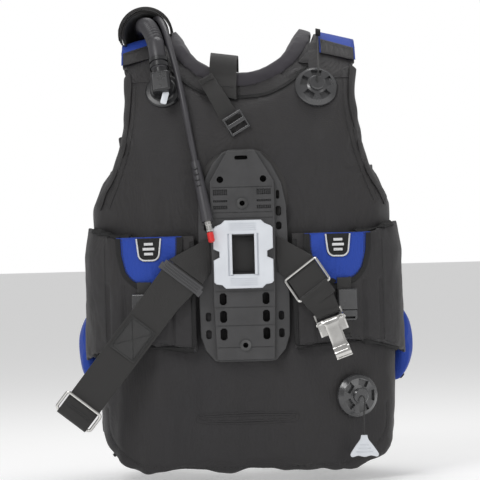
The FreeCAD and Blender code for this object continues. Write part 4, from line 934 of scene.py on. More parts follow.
# ---------------------------------------------------------------- ballast pockets, flaps and side pouches
# Weight pockets on the flanks with a bound mouth, a pleat and a blue flap held by a buckle.
# Behind them on the sides are stretch pouches in the same blue.

pockets = stuffed(own_copy("weight_pockets", "ballast_pockets"), 0.0045, 0.004, 3.0, smoothing=1)


def pocket_folds(co):
    return 0.5 + 0.5 * max(0.0, min(1.0, (0.03 - co.z) / 0.12))


for vertex in pockets.data.vertices:
    # the mouth's outer corner leans in over the flank
    rise = max(0.0, min(1.0, (vertex.co.z - 0.030) / 0.040))
    outwards = max(0.0, min(1.0, (abs(vertex.co.x) - 0.195) / 0.02))
    vertex.co.x -= math.copysign(0.007 * (rise * outwards), vertex.co.x)
creased(pockets, 0.003, 15.0, 6.2, stretch=(1.5, 1.0, 0.5), reach=pocket_folds)
creased(pockets, 0.001, 40.0, 1.7, reach=pocket_folds)
pleats = [[(side * x, z) for z in range(-96, -12, 2)] for side in (1, -1) for x in (104, 172, 196)]
pressed(pockets, pleats, 0.006, 0.0024)
dressed(pockets, shell_nylon, "root", "shell_fabric", "weight_pockets")
pocket_surface = surface_of(pockets)
for side, mark in mirrored:
    mouth = traced(pocket_surface, [(side * x, 57.2 if x < 181 else 57.2 + (x - 181) * 0.30)
                                    for x in range(72, 219, 4)])
    tape("pocket_mouth_" + mark, beside(mouth, 0.01), 0.0014, trim_nylon, "root", "shell_fabric",
         arch=0.0008)
    inner_edge = traced(pocket_surface, [(side * 73.0, z) for z in range(-102, 52, 6)])
    tape("pocket_front_edge_" + mark, beside(inner_edge, 0.006), 0.0012, trim_nylon, "root", "shell_fabric",
         arch=0.0006)
    foot = traced(pocket_surface, smoothed([(side * 74, -106.5), (side * 110, -103.5), (side * 150, -98.8),
                                            (side * 190, -104.5), (side * 220, -114)], 6))
    tape("pocket_foot_" + mark, beside(foot, 0.007), 0.0012, trim_nylon, "root", "shell_fabric",
         arch=0.0006)
    stitched("pocket_foot_stitches_" + mark, traced(pocket_surface,
                                                    smoothed([(side * 72, -103.5), (side * 110, -98.5),
                                                              (side * 150, -92.8), (side * 190, -98.5),
                                                              (side * 218, -107)], 6)))
    stitched("pocket_seam_" + mark, traced(pocket_surface, [(side * 200, z) for z in range(-100, 52, 4)]))

flaps = own_copy("pocket_flaps", "pocket_flap_panels")
flap_shape = divided(flaps, 0.009)


def flap_narrowing(z):
    """How much narrower the rounded flap is than its block at a height in millimetres."""
    down = min(1.0, max(0.0, (57.0 - z) / 76.5))
    block = 49.0 - max(0.0, 20.0 - math.sqrt(max(0.0, 400.0 - max(0.0, 4.0 - z) ** 2)))
    return min(1.0, 49.0 * (1.0 - down ** 2.7) ** (1 / 2.3) / block)


flap_middle = 134.5


def on_flap(side, x, z):
    """A place on the rounded flap from the same place on its block."""
    return side * flap_middle + (x - side * flap_middle) * flap_narrowing(z), z


for vertex in flap_shape.verts:
    side = math.copysign(1.0, vertex.co.x)
    vertex.co.x = on_flap(side, vertex.co.x * 1000, vertex.co.z * 1000)[0] * 0.001
flap_shape.normal_update()
for vertex in flap_shape.verts:
    across = (abs(vertex.co.x) - 0.1345) / 0.047
    up = (vertex.co.z - 0.020) / 0.036
    crown = max(0.0, 1 - across * across) * max(0.0, 1 - up * up)
    vertex.co.y -= 0.0016 * crown
    vertex.co += vertex.normal * 0.0005 * noise.noise(vertex.co * 45.0)
flap_shape.to_mesh(flaps.data)
flap_shape.free()
for face in flaps.data.polygons:
    face.use_smooth = True
dressed(flaps, facing_nylon, "root", "accent_fabric", "pocket_flaps")
flap_surface = surface_of(flaps)

mark_finish = surfaced("white_print", cloth, (0.62, 0.62, 0.63), (0.78, 0.78, 0.79), (0.4, 0.5), 0.0001,
                       5200.0, specular=0.4)


def u_line(centre, half, top, bottom, corner):
    """A U in (x, z): down one side, round the bottom and up the other side."""
    points = [(centre - half, top), (centre - half, (top + bottom + corner) / 2)]
    for start, turn_x in ((180, centre - half + corner), (270, centre + half - corner)):
        for step in range(7):
            angle = math.radians(start + 15 * step)
            points.append((turn_x + corner * math.cos(angle), bottom + corner + corner * math.sin(angle)))
    points += [(centre + half, (top + bottom + corner) / 2), (centre + half, top)]
    return points


for side, mark in mirrored:
    centre = side * flap_middle
    rim = traced(flap_surface, [on_flap(side, x, z) for x, z in u_line(centre, 44.2, 55, -13.2, 20)])
    tape("flap_binding_" + mark, beside(rim, 0.0085), 0.0014, trim_nylon, "root", "accent_fabric",
         arch=0.0006)
    seam = traced(flap_surface, [on_flap(side, x, z) for x, z in u_line(centre, 38.6, 54, -7.6, 17)])
    stitched("flap_stitches_" + mark, seam, "root", "accent_fabric")
    badge_rows = []
    for step in range(0, 13):
        z = 54.6 - 33.5 * step / 12
        low = max(0.0, (21.1 + 8 - z) / 8)
        half = 15.0 + (z - 21.1) * 0.10 - 8 * (1 - math.sqrt(max(0.0, 1 - min(1.0, low) ** 2)))
        ends = traced(flap_surface, [(centre - half, z), (centre + half, z)], lift=0.0003)
        badge_rows.append((ends[0][0], ends[1][0], (0, -1, 0)))
    tape("flap_badge_" + mark, badge_rows, 0.001, trim_nylon, "root", "accent_fabric", lanes=8, arch=0.0008)
    outline = traced(flap_surface, [(centre + (x - centre) * (0.93 + (z - 22.8) * 0.0075), z)
                                    for x, z in u_line(centre, 14.6, 54, 22.8, 8.5)], lift=0.0018)
    tape("badge_outline_" + mark, beside(outline, 0.0022), 0.0006, mark_finish, "root", "accent_fabric",
         lanes=2, bevel=0)
    bars = bmesh.new()
    for row, half in enumerate((6.4, 8.4, 6.4)):
        spot = traced(flap_surface, [(centre, 46.0 - 7.0 * row)], lift=0.0022)[0][0]
        block(bars, Matrix.Translation(spot), (half * 0.002, 0.0009, 0.0038))
    rounded(bars, bars.edges, 0.0004, 2)
    dressed(finished_mesh("badge_bars_" + mark, bars), mark_finish, "root", "accent_fabric")

pouches = stuffed(own_copy("side_pouches", "stretch_pouches"), 0.0045, 0.006, 4.0, smoothing=2)
for vertex in pouches.data.vertices:
    # the pouch is drawn in at its mouth and its foot, and stands out in between
    up = min(1.0, abs(vertex.co.z + 0.105) / 0.060)
    outside = max(0.0, abs(vertex.co.x) - 0.205)
    vertex.co.x -= math.copysign(outside * (1 - math.sqrt(max(0.0, 1 - up ** 2.4))) * 0.85, vertex.co.x)
creased(pouches, 0.0022, 20.0, 9.0, stretch=(1.0, 1.0, 0.7))
dressed(pouches, facing_nylon, "root", "accent_fabric", "side_pouches")
pouch_surface = surface_of(pouches)


def traced_flank(tree, side, line):
    """Where a line in (y, z) millimetres falls on a surface seen from the flank."""
    way = Vector((-side, 0, 0))
    return struck(tree, [(Vector((side, y * 0.001, z * 0.001)), way) for y, z in line], 0.0)


for side, mark in mirrored:
    for place_name, height in (("mouth", -52), ("foot", -157)):
        line = [(y, height) for y in range(129, 205, 4)]
        tape("pouch_%s_%s" % (place_name, mark), beside(traced_flank(pouch_surface, side, line), 0.008),
             0.0014, trim_nylon, "root", "accent_fabric", arch=0.0006)

# ---------------------------------------------------------------- front lobes, cargo pockets and waist wrap
# The two inflatable front lobes, each with a zipped pocket, the elastic waist wrap inside them
# and the soft pad that lies against the wearer's back.

for side, mark in mirrored:
    lobe = stuffed(own_copy(mark + "_front_lobe", "front_lobe_" + mark), 0.0055, 0.006, 4.0, smoothing=2)
    creased(lobe, 0.0028, 11.0, 4.0 + 2 * side, stretch=(1.5, 1.0, 0.6))
    lobe_edge = smoothed([(side * 60, 92), (side * 57, 60), (side * 55, 10), (side * 55, -60),
                          (side * 56, -120), (side * 60, -150), (side * 80, -161), (side * 130, -162),
                          (side * 180, -162)], 8)
    lobe_seam = [(x + side * 9, z + (7 if z < -130 else 0)) for x, z in lobe_edge]
    pressed(lobe, [lobe_seam], 0.0045, 0.0012, side=1)
    dressed(lobe, shell_nylon, "root", "shell_fabric", mark + "_front_lobe")
    lobe_surface = surface_of(lobe)
    tape("lobe_binding_" + mark, beside(traced(lobe_surface, lobe_edge, side=1, lift=-0.0004), 0.009),
         0.0016, trim_nylon, "root", "shell_fabric", arch=0.0012)
    stitched("lobe_stitches_" + mark, traced(lobe_surface, lobe_seam, side=1))

cargo = stuffed(own_copy("cargo_pockets", "cargo_pocket_bags"), 0.0045, 0.005, 4.0, smoothing=2)
creased(cargo, 0.0022, 18.0, 12.0, stretch=(1.2, 1.0, 0.7))
dressed(cargo, shell_nylon, "root", "shell_fabric", "cargo_pockets")
cargo_surface = surface_of(cargo)
zip_metal = surfaced("zip_teeth", grain, (0.05, 0.05, 0.052), (0.1, 0.1, 0.105), (0.3, 0.45), 5e-05, 2000.0,
                     specular=0.5)
for side, mark in mirrored:
    zip_line = traced(cargo_surface, [(side * x, -32) for x in range(76, 178, 3)], side=1)
    tape("cargo_zip_" + mark, beside(zip_line, 0.016), 0.001, trim_nylon, "root", "shell_fabric",
         arch=0.0006)
    teeth = bmesh.new()
    spots = [spot + normal * 0.0018 for spot, normal in zip_line]
    gone = along(spots)
    distance = 0.002
    while distance < gone[-1]:
        point, way = place_on(spots, gone, distance)
        block(teeth, Matrix.Translation(point), (0.0012, 0.0014, 0.0044))
        distance += 0.0024
    dressed(finished_mesh("cargo_zip_teeth_" + mark, teeth), zip_metal, "root", "shell_fabric")
    frame_line = traced(cargo_surface, [(side * x, z) for x,
                                        z in smoothed([(70, -20), (69.5, -80), (70, -148), (90, -152),
                                                       (126, -152.5), (162, -152), (181, -148), (182, -80),
                                                       (181, -20)], 5)], side=1)
    tape("cargo_binding_" + mark, beside(frame_line, 0.006), 0.0012, trim_nylon, "root", "shell_fabric",
         arch=0.0006)

lining_mesh = surfaced("black_spacer_mesh", cloth, (0.01, 0.01, 0.01), (0.04, 0.04, 0.041), (0.7, 0.85),
                       0.0005, 1500.0, specular=0.3)
back_cushion = stuffed(own_copy("back_pad", "back_cushion"), 0.005, 0.004, 3.0, smoothing=2)
channels = [[(x, z) for z in range(-176, 190, 2)] for x in (-62, 0, 62)]
channels += [[(x, z) for x in range(-96, 97, 2)] for z in (-120, -30, 60, 140)]
pressed(back_cushion, channels, 0.008, 0.004, side=1)
dressed(back_cushion, lining_mesh, "root", "shell_fabric", "back_pad")
waist_wrap = stuffed(own_copy("cummerbund", "waist_wrap"), 0.004, 0.0015, 2.0, smoothing=1)
dressed(waist_wrap, neoprene, "root", "neoprene", "cummerbund")

# ---------------------------------------------------------------- cylinder band, left half
# 50 mm woven webbing that holds the cylinder. It comes out of the backplate, turns down through
# a ridged keeper and is doubled back round a wire bail, with a boxed cross of stitching.

ribbing, start, end = new_surface("woven_webbing", [])
lanes_in = ribbing.nodes.new("ShaderNodeSeparateXYZ")
ribbing.links.new(start.outputs["Place"], lanes_in.inputs[0])
columns = reckon(ribbing, "SINE", reckon(ribbing, "MULTIPLY", lanes_in.outputs[0], 2900.0))
offset = reckon(ribbing, "MULTIPLY", reckon(ribbing, "SIGN", columns), 0.8)
picks = reckon(ribbing, "SINE", reckon(ribbing, "ADD", offset,
                                       reckon(ribbing, "MULTIPLY", lanes_in.outputs[1], 3900.0)))
weave = reckon(ribbing, "ADD", reckon(ribbing, "ABSOLUTE", columns),
               reckon(ribbing, "MULTIPLY", picks, 0.6))
dust = cloud(ribbing, start.outputs["Place"], 60.0, 4.0)
# the colour is darker in the hollows of the weave and lighter on its ribs: painted shade, mixed with random
# dust tone
weave_shade_and_dust = reckon(ribbing, "ADD", reckon(ribbing, "MULTIPLY", weave, 0.22),
              reckon(ribbing, "MULTIPLY", dust, 0.55))
give(ribbing, start, end, weave_shade_and_dust, dust, weave)
black_webbing = surfaced("black_webbing", ribbing, (0.01, 0.0098, 0.0095), (0.042, 0.04, 0.039),
                         (0.55, 0.72), 0.00022, place="UV", specular=0.45, sheen=0.15)


def own_axes(origin, x_axis, z_axis):
    """A placement with its origin, local X and local Z given, in millimetres."""
    z_way = Vector(z_axis).normalized()
    x_way = Vector(x_axis)
    x_way = (x_way - z_way * x_way.dot(z_way)).normalized()
    turned = Matrix((x_way, z_way.cross(x_way), z_way)).transposed().to_4x4()
    return Matrix.Translation(origin) @ turned


def in_metres(placement):
    """The same placement for shapes that are drawn in metres."""
    return Matrix.Translation(placement.to_translation() * 0.001) @ placement.to_3x3().to_4x4()


def at(placement, x, y, z):
    return (placement @ Vector((x, y, z))) * 0.001


def ways(placement):
    """The placement's own X and Z directions."""
    turned = placement.to_3x3()
    return turned.col[0].copy(), turned.col[2].copy()


def level_run(placement, half_start, half_end, y_start, y_end, z_start, z_end, flip=1, steps=12, shift=0.0):
    """Straight stations of a strap in a placement's own axes; flip is 1 if its face looks along local Z."""
    outward = ways(placement)[1] * flip
    stations = []
    for step in range(steps + 1):
        share = step / steps
        half = half_start + (half_end - half_start) * share
        y = y_start + (y_end - y_start) * share
        z = z_start + (z_end - z_start) * share
        middle = shift * (1 - share)
        stations.append((at(placement, middle - half, y, z), at(placement, middle + half, y, z), outward))
    return stations


def round_bar(placement, y, half, radius, flip, turn, steps=10, sweep=180):
    """Stations of a strap that goes round a bar along local X, from its face side to its back."""
    axis, outward = ways(placement)
    centre = at(placement, 0, y, 0)
    stations = []
    for step in range(steps + 1):
        way = Matrix.Rotation(math.radians(turn * sweep * step / steps), 3, axis) @ (outward * flip)
        middle = centre + way * radius * 0.001
        stations.append((middle - axis * half * 0.001, middle + axis * half * 0.001, way))
    return stations


def strap(name, stations, body="root", replaced=(), thick=0.0022, lanes=6, bevel=0.0007):
    """A length of the black webbing."""
    tape(name, stations, thick, black_webbing, body, "webbing", replaced, lanes=lanes, bevel=bevel)


left_axes = own_axes((-248.3, -9.2, -199.6), (0.784, 0, -0.621), (0, -1, 0))
tail = (level_run(left_axes, 29.5, 26, 263, 215, 0.1, 0.1, steps=8, shift=2.5)
        + level_run(left_axes, 26, 25, 210, 8, 0.1, 0.1, steps=24)
        + round_bar(left_axes, 0, 25, 2.35, 1, 1)
        + [(one, other, -outward) for one, other, outward in
           level_run(left_axes, 25, 25.5, 8, 212, -0.1, -0.1, steps=24)])
strap("band_left_doubled", tail, "left_band", ("left_band",))


def straight(first, last, steps):
    """Stations evenly between two given ones, in millimetres."""
    stations = []
    for step in range(steps + 1):
        share = step / steps
        stations.append(tuple(Vector(a).lerp(Vector(b), share) * scale
                              for a, b, scale in zip(first, last, (0.001, 0.001, 1.0))))
    return stations


rearward = (0, -1, 0)
over_keeper = left_axes @ Vector((-27, 263, -1.1)), left_axes @ Vector((32, 263, -1.1))
upper_run = (straight(((-47.6, 7.3, 3.5), (-47.6, 7.3, 53.5), rearward),
                      ((-51, 7.3, -0.5), (-52, 7.3, 51.5), rearward), 2)
             + straight(((-51, 7.3, -0.5), (-52, 7.3, 51.5), rearward),
                        (over_keeper[1], over_keeper[0], rearward), 16)[1:])
strap("band_left_upper", upper_run, "left_band")
patch_cloth = surfaced("stitched_patch", ribbing, (0.007, 0.007, 0.007), (0.026, 0.025, 0.025), (0.3, 0.44),
                       0.0002, place="UV", specular=0.6)
patch_rows = level_run(left_axes, 21.5, 21.5, 115, 169, 2.4, 2.4, steps=12)
tape("band_boxed_patch", patch_rows, 0.001, patch_cloth, "left_band", "webbing", lanes=6, arch=0.0005)
for mark, corners in (("box", ((-19, 118), (19, 118), (19, 166), (-19, 166), (-19, 118))),
                      ("cross", ((-19, 118), (19, 166))), ("cross_back", ((19, 118), (-19, 166))),
                      ("end_fold", ((-22, 17), (22, 17))), ("end_fold_double", ((-22, 12.5), (22, 12.5)))):
    line = []
    for (x, y), (x_next, y_next) in zip(corners, corners[1:]):
        line += [(x + (x_next - x) * step / 16, y + (y_next - y) * step / 16) for step in range(16)]
    line.append(corners[-1])
    depth = 2.35 if "fold" in mark else 3.7
    stitched("band_%s_stitches" % mark, [(at(left_axes, x, y, depth), Vector(rearward)) for x, y in line],
             "left_band", "webbing", pitch=0.0032, length=0.0024, thick=0.0009)

# the keeper: a ridged moulding that both layers run through
keeper = bmesh.new()
keeper_place = in_metres(left_axes @ Matrix.Translation((3, 254, 0)))
block(keeper, keeper_place, (0.066, 0.015, 0.0088))
for ridge in range(4):
    place = keeper_place @ Matrix.Translation((0, -0.0054 + 0.0036 * ridge, 0.0048))
    block(keeper, place, (0.06, 0.002, 0.0016))
for end in (-1, 1):
    place = keeper_place @ Matrix.Translation((end * 0.0335, -0.003, 0))
    block(keeper, place, (0.005, 0.0105, 0.008))
rounded(keeper, keeper.edges, 0.0007, 2)
keeper_plastic = surfaced("grey_keeper_plastic", grain, (0.04, 0.04, 0.042), (0.085, 0.084, 0.088),
                          (0.34, 0.5), 0.0001, 700.0, specular=0.5)
dressed(finished_mesh("ridged_keeper", keeper), keeper_plastic, "left_band", "buckle_plastic",
        "strap_keeper")

# ---------------------------------------------------------------- cylinder band, middle and right half
# The same webbing runs behind the pale pad and out to a square wire ring. A short strap hangs
# from the ring and carries the steel cam buckle that the other end of the band hooks into.

middle_run = straight(((-46, 7.3, 3.5), (-46, 7.3, 53.5), rearward),
                      ((46, 7.3, 3.5), (46, 7.3, 53.5), rearward), 10)
strap("band_middle", middle_run, "root", ("band_centre",))
ring_axis = Vector((0.773, -0.259, 0.580))
ring_down = Vector((0.522, -0.259, -0.813))
ring_axes = own_axes((79.6, -9.0, 5.4), ring_axis, ring_axis.cross(ring_down))
ring_face = -ways(ring_axes)[1]
to_ring = straight(((47.6, 7.3, 53.5), (47.6, 7.3, 3.5), rearward),
                   ((52, 7.3, 51.5), (51, 7.3, 0.5), rearward), 2)
to_ring += straight(((52, 7.3, 51.5), (51, 7.3, 0.5), rearward),
                    (ring_axes @ Vector((25, -6.0, 4.4)), ring_axes @ Vector((-25, -6.0, 4.4)), ring_face),
                    8)[1:]
to_ring += [(at(ring_axes, 25, y, 4.4), at(ring_axes, -25, y, 4.4), ring_face) for y in (-2, 2, 5)]
strap("band_right", to_ring, "right_band", ("right_band",))
# inside the ring lies the doubled end that the ring is sewn in with
inside = [(at(ring_axes, 25, y, 4.0 - y * 0.02), at(ring_axes, -25, y, 4.0 - y * 0.02), ring_face)
          for y in range(3, 40, 4)]
strap("ring_inner_webbing", inside, "ring")
cam_axes = own_axes((116.9, -20.0, -57.6), (0.94, 0, 0.34), rearward)
cam_face = ways(cam_axes)[1]
from_ring = [(at(ring_axes, -24, y, 1.5), at(ring_axes, 24, y, 1.5), -ring_face) for y in (56, 49, 41.5)]
over_bar = round_bar(ring_axes, 38, 24, 2.1, -1, -1)
over_bar.reverse()
to_cam = straight((ring_axes @ Vector((-24, 41.5, 1.0)), ring_axes @ Vector((24, 41.5, 1.0)), ring_face),
                  (cam_axes @ Vector((-18, 3.6, -1.0)), cam_axes @ Vector((18, 3.6, -1.0)), cam_face), 6)
under_bar = round_bar(cam_axes, 0, 18, 2.45, 1, 1)
cam_tail = [(at(cam_axes, -18, y, -1.5), at(cam_axes, 18, y, -1.5), -cam_face) for y in (3.6, 8, 13)]
strap("cam_buckle_strap", from_ring + over_bar + to_cam + under_bar + cam_tail, "cam", ("cam_strap",),
      thick=0.00176, bevel=0.0006)

# ---------------------------------------------------------------- carrying handle and safety strap
# A wide webbing handle folded over the collar, and the narrower strap that steadies the cylinder
# valve, sewn on with a folded end and led down through a ladder buckle.


def back_y(x, z):
    """How far forward the vest's back is at a place, in millimetres."""
    bend_start = 179 - 0.25 * abs(x)
    if z <= bend_start:
        return 20.0
    return 286.8 - math.sqrt(266.8 ** 2 - (z - bend_start) ** 2)


def off_back(x, z, away):
    return (x, back_y(x, z) - away, z)


def flowing(sections, steps):
    """Stations along a strap that curves smoothly through its sections, in millimetres."""
    ones, others, outs = ([tuple(section[part]) for section in sections] for part in (0, 1, 2))
    return [(Vector(one) * 0.001, Vector(other) * 0.001, Vector(out)) for one, other,
            out in zip(smoothed(ones, steps), smoothed(others, steps), smoothed(outs, steps))]


handle = ((off_back(-42, 262, 0.6), off_back(-4, 250, 0.6), rearward),
          (off_back(-42, 272, 3.7), off_back(-4, 268, 3.7), rearward),
          (off_back(-42, 290, 4.0), off_back(-3, 284, 4.0), rearward),
          ((-41, 45.2, 307), (-2.5, 40.2, 300), (0, -1, 0.5)),
          ((-40, 56, 317.2), (-1, 51, 311.2), (0, -0.4, 1)),
          ((-40, 79, 317.2), (0, 74, 311.2), (0, 0.4, 1)),
          ((-40, 92.2, 300), (0, 88.2, 292), (0, 1, 0.3)))
handle_rows = flowing(handle, 6)
strap("carrying_handle", handle_rows, "root", ("carry_handle",), thick=0.0021, bevel=0.0006)
for height, mark in ((0.12, "lower"), (1.1, "upper")):
    row = handle_rows[int(height * 6)]
    seam = [(row[0].lerp(row[1], 0.08 + 0.84 * step / 20) + row[2] * 0.0022, row[2]) for step in range(21)]
    stitched("handle_stitches_" + mark, seam, "root", "webbing", pitch=0.0032, length=0.0024, thick=0.0008)
safety = ((off_back(-57.6, 279, 1.6), off_back(-38.4, 289, 9.4), rearward),
          (off_back(-42.8, 250.5, 6.4), off_back(-22, 262, 8.6), rearward),
          (off_back(-28, 222, 2.1), off_back(-5.6, 235, 3.1), rearward),
          (off_back(-15, 200, 1.3), off_back(8, 209, 1.7), rearward),
          (off_back(-11, 180.4, 1.5), off_back(13.6, 180.4, 1.5), rearward),
          (off_back(-11, 164, 1.5), off_back(13.6, 164, 1.5), rearward))
safety_rows = flowing(safety, 6)
strap("valve_safety_strap", safety_rows, "root", ("safety_strap",), thick=0.0021, lanes=4, bevel=0.0006)
fold = [(one + Vector((0, -0.0022, 0)), other + Vector((0, -0.0022, 0)), out)
        for one, other, out in safety_rows[:3]]
strap("safety_strap_fold", fold, thick=0.0016, lanes=4, bevel=0.0006)
for share in (0.25, 0.75):
    row = [Vector(a).lerp(Vector(b), share) for a, b in zip(fold[0], fold[2])]
    seam = [(row[0].lerp(row[1], 0.08 + 0.84 * step / 16) + Vector((0, -0.0017, 0)), Vector(rearward))
            for step in range(17)]
    stitched("safety_fold_stitches_%d" % (share * 4), seam, "root", "webbing", pitch=0.003, length=0.0022,
             thick=0.0008)

# ---------------------------------------------------------------- webbing of the buckles and the chest
# Narrow webbing on the pocket buckles, the wide shoulder straps and the chest strap at the front,
# and the sewn loops that hold the two steel D rings.

for side, mark in mirrored:
    strap_x = side * 141.0
    face = (Vector((side * 0.18, -1, 0))).normalized()
    for name, rows in (("upper", ((-8, 6.0), (-18, 4.6), (-27, 3.6))),
                       ("lower", ((-60, 3.0), (-68, 3.6), (-75, 1.4), (-83, 0.6), (-92, 0.6)))):
        stations = []
        for z, away in rows:
            left_spot = traced(pocket_surface, [(strap_x - 10, z)])[0][0]
            right_spot = traced(pocket_surface, [(strap_x + 10, z)])[0][0]
            stations.append((left_spot * 1000 + face * away, right_spot * 1000 + face * away, face))
        rides = mark + "_clip" if name == "lower" else "root"
        strap("pocket_%s_webbing_%s" % (name, mark), flowing(stations, 5), rides, thick=0.0016, lanes=4,
              bevel=0.0004)
    foot = [(traced(pocket_surface, [(strap_x - 8 + step, -89)], lift=0.0023)[0][0], face)
            for step in range(17)]
    stitched("pocket_webbing_stitches_" + mark, foot, mark + "_clip", "webbing", pitch=0.003, length=0.0022,
             thick=0.0008)

forward = (0, 1, 0)
for side, mark in mirrored:
    middle_x = side * 126.0
    rows = (((middle_x + 19, 258.2, 226), (middle_x - 19, 258.2, 226), forward),
            ((middle_x + 19, 264.2, 180), (middle_x - 19, 264.2, 180), forward),
            ((side * 121 + 19, 266.2, 128.4), (side * 121 - 19, 266.2, 128.4), forward))
    name_of = ("shoulder_straps",) if side > 0 else ()
    strap("shoulder_strap_" + mark, flowing(rows, 8), "root", name_of, thick=0.0021, bevel=0.0006)
    start_x = 30.0 if side > 0 else -33.0
    rows = (((start_x, 262.2, 173.6), (start_x, 262.2, 198.4), forward),
            ((side * 106.5, 262.2, 173.6), (side * 106.5, 262.2, 198.4), forward))
    if side > 0:
        rows = tuple((other, one, out) for one, other, out in rows)
    name_of = ("chest_straps",) if side > 0 else ()
    strap("chest_strap_" + mark, straight(rows[0], rows[1], 8), "root", name_of, thick=0.0021, lanes=4,
          bevel=0.0006)
    loop_axes = own_axes((side * 74, 284.2, 56), (1, 0, 0), (0, 1, 0))
    wrap = [(other, one, way) for one, other, way in round_bar(loop_axes, 0, 15, 2.5, 1, -1, steps=14,
                                                               sweep=230)]
    name_of = ("d_ring_loops",) if side > 0 else ()
    strap("d_ring_loop_" + mark, wrap, "root", name_of, thick=0.0012, lanes=4, bevel=0.0003)

# ---------------------------------------------------------------- backplate and pale cylinder pad
# A ribbed, pierced plate of glass-filled plastic with two threaded bushings, a dark foam rest
# that shows behind its top corners, and a pale moulded pad that the cylinder leans on.


def repaint(finish, *names):
    """Gives CAD nodes that are shown as they are a finish."""
    for name in names:
        nodes[name].data.materials.clear()
        nodes[name].data.materials.append(finish)


plate_plastic = surfaced("moulded_plate", grain, (0.03, 0.03, 0.031), (0.062, 0.061, 0.063), (0.38, 0.56),
                         0.00016, 650.0, specular=0.5)
repaint(plate_plastic, "backplate")
pad_plastic = surfaced("pale_pad_plastic", grain, (0.6, 0.62, 0.66), (0.74, 0.77, 0.81), (0.34, 0.48),
                       7e-05, 800.0, specular=0.5)
repaint(pad_plastic, "tank_pad")
rest_rows = []
for step in range(41):
    share = step / 40
    angle = math.radians(-22 + 224 * share)
    swell = math.sin(math.pi * share) ** 0.55
    x, z = 58 * math.cos(angle), 104 + 70 * math.sin(angle)
    outer_x = x + 13 * swell * math.cos(angle)
    outer_z = z + 5 * swell * math.sin(angle)
    rest_rows.append((Vector((x * 0.86, 18.5, 104 + (z - 104) * 0.9)) * 0.001,
                      Vector((outer_x, 19.5, outer_z)) * 0.001, Vector(rearward)))
tape("plate_foam_rest", rest_rows, 0.0026, retainer_cloth, "root", "shell_fabric", lanes=6, arch=0.0036,
     bevel=0.0008)

# fine upright fins in the plate's sunk windows
fins = bmesh.new()
for side in (-1, 1):
    for low, high in ((113, 121), (103, 106), (93, 98)):
        for fin in range(7):
            block(fins, Matrix.Translation(((side * 31 - 7.8 + 2.6 * fin) * 0.001, 0.00205,
                                            (low + high) * 0.0005)), (0.0009, 0.003, (high - low) * 0.001))
rounded(fins, fins.edges, 0.0002, 1)
dressed(finished_mesh("plate_window_fins", fins), plate_plastic, "root", "plate_plastic")

# upright lips on both sides of the pad's window, which the band slides behind
lips = bmesh.new()
for side in (-1, 1):
    block(lips, Matrix.Translation((side * 0.0178, -0.0092, 0.0285)), (0.004, 0.0034, 0.059))
rounded(lips, lips.edges, 0.0011, 3)
dressed(finished_mesh("pad_window_lips", lips), pad_plastic, "root", "pad_plastic")

# ---------------------------------------------------------------- steel fittings
# Polished stainless wire, pressed plates and turned fittings: the bail, the ring, the cam
# buckle, the D rings, the bushings, the hose end and the quick coupler.

polish, start, end = new_surface("polished_steel", [])
drawn_out = polish.nodes.new("ShaderNodeMapping")
drawn_out.inputs["Scale"].default_value = (1.0, 1.0, 0.12)
polish.links.new(start.outputs["Place"], drawn_out.inputs["Vector"])
lines = cloud(polish, drawn_out.outputs["Vector"], 1400.0, 2.0)
smears = cloud(polish, start.outputs["Place"], 70.0, 4.0)
give(polish, start, end, smears, smears, lines)
steel = surfaced("polished_stainless", polish, (0.5, 0.49, 0.47), (0.78, 0.77, 0.75), (0.1, 0.24), 2e-05,
                 metallic=1.0)
repaint(steel, "band_bail", "band_ring", "cam_buckle", "left_d_ring", "right_d_ring", "hose_fitting",
        "quick_coupler", "coupler_stem")
dressed(retainer_rivet, steel, "root", "steel")
blackened = surfaced("blackened_bushing", polish, (0.05, 0.05, 0.05), (0.16, 0.16, 0.16), (0.28, 0.42),
                     4e-05, metallic=0.7)
repaint(blackened, "plate_bushings")

# the cam lever: a pressed plate on the pin, with a flat thumb face and a curled end
lever_path = ((-9.5, 8.6), (-13, 10.4), (-20, 10.4), (-34, 10.4), (-47, 10.5), (-51, 11.6), (-54, 14.6),
              (-57.5, 17.2), (-61, 17.4), (-64.5, 15.8), (-66.5, 17.6))
lever_line = smoothed(lever_path, 4)
lever_rows = []
for index, (y, z) in enumerate(lever_line):
    before = lever_line[max(0, index - 1)]
    after = lever_line[min(len(lever_line) - 1, index + 1)]
    up = (cam_axes.to_3x3() @ Vector((0, after[1] - before[1], before[0] - after[0]))).normalized()
    if up.dot(cam_face) < 0:
        up.negate()
    half = 10.5 + 1.0 * min(1.0, max(0.0, (-44 - y) / 6)) if y < -16 else 10.5 + (y + 16) * 0.55
    lever_rows.append((at(cam_axes, -half, y, z - 0.4), at(cam_axes, half, y, z - 0.4), up))
tape("cam_lever_plate", lever_rows, 0.0017, steel, "lever", "steel", ("cam_lever",), lanes=6, bevel=0.0005)
cheeks = bmesh.new()
for side in (-1, 1):
    for y, z, long, tall in ((-27, 7.6, 0.036, 0.0052), (-11.8, 6.2, 0.0074, 0.0076)):
        place = in_metres(cam_axes @ Matrix.Translation((side * 9.9, y, z)))
        block(cheeks, place, (0.0014, long, tall))
rounded(cheeks, cheeks.edges, 0.0004, 2)
dressed(finished_mesh("cam_lever_cheeks", cheeks), steel, "lever", "steel")

# ---------------------------------------------------------------- valves, elbow, inflator and buckles
# Black mouldings: two dump valves with windowed covers, the shoulder elbow with its pale locking
# tab, the inflator with its buttons and mouthpiece, and the side-release and ladder buckles.

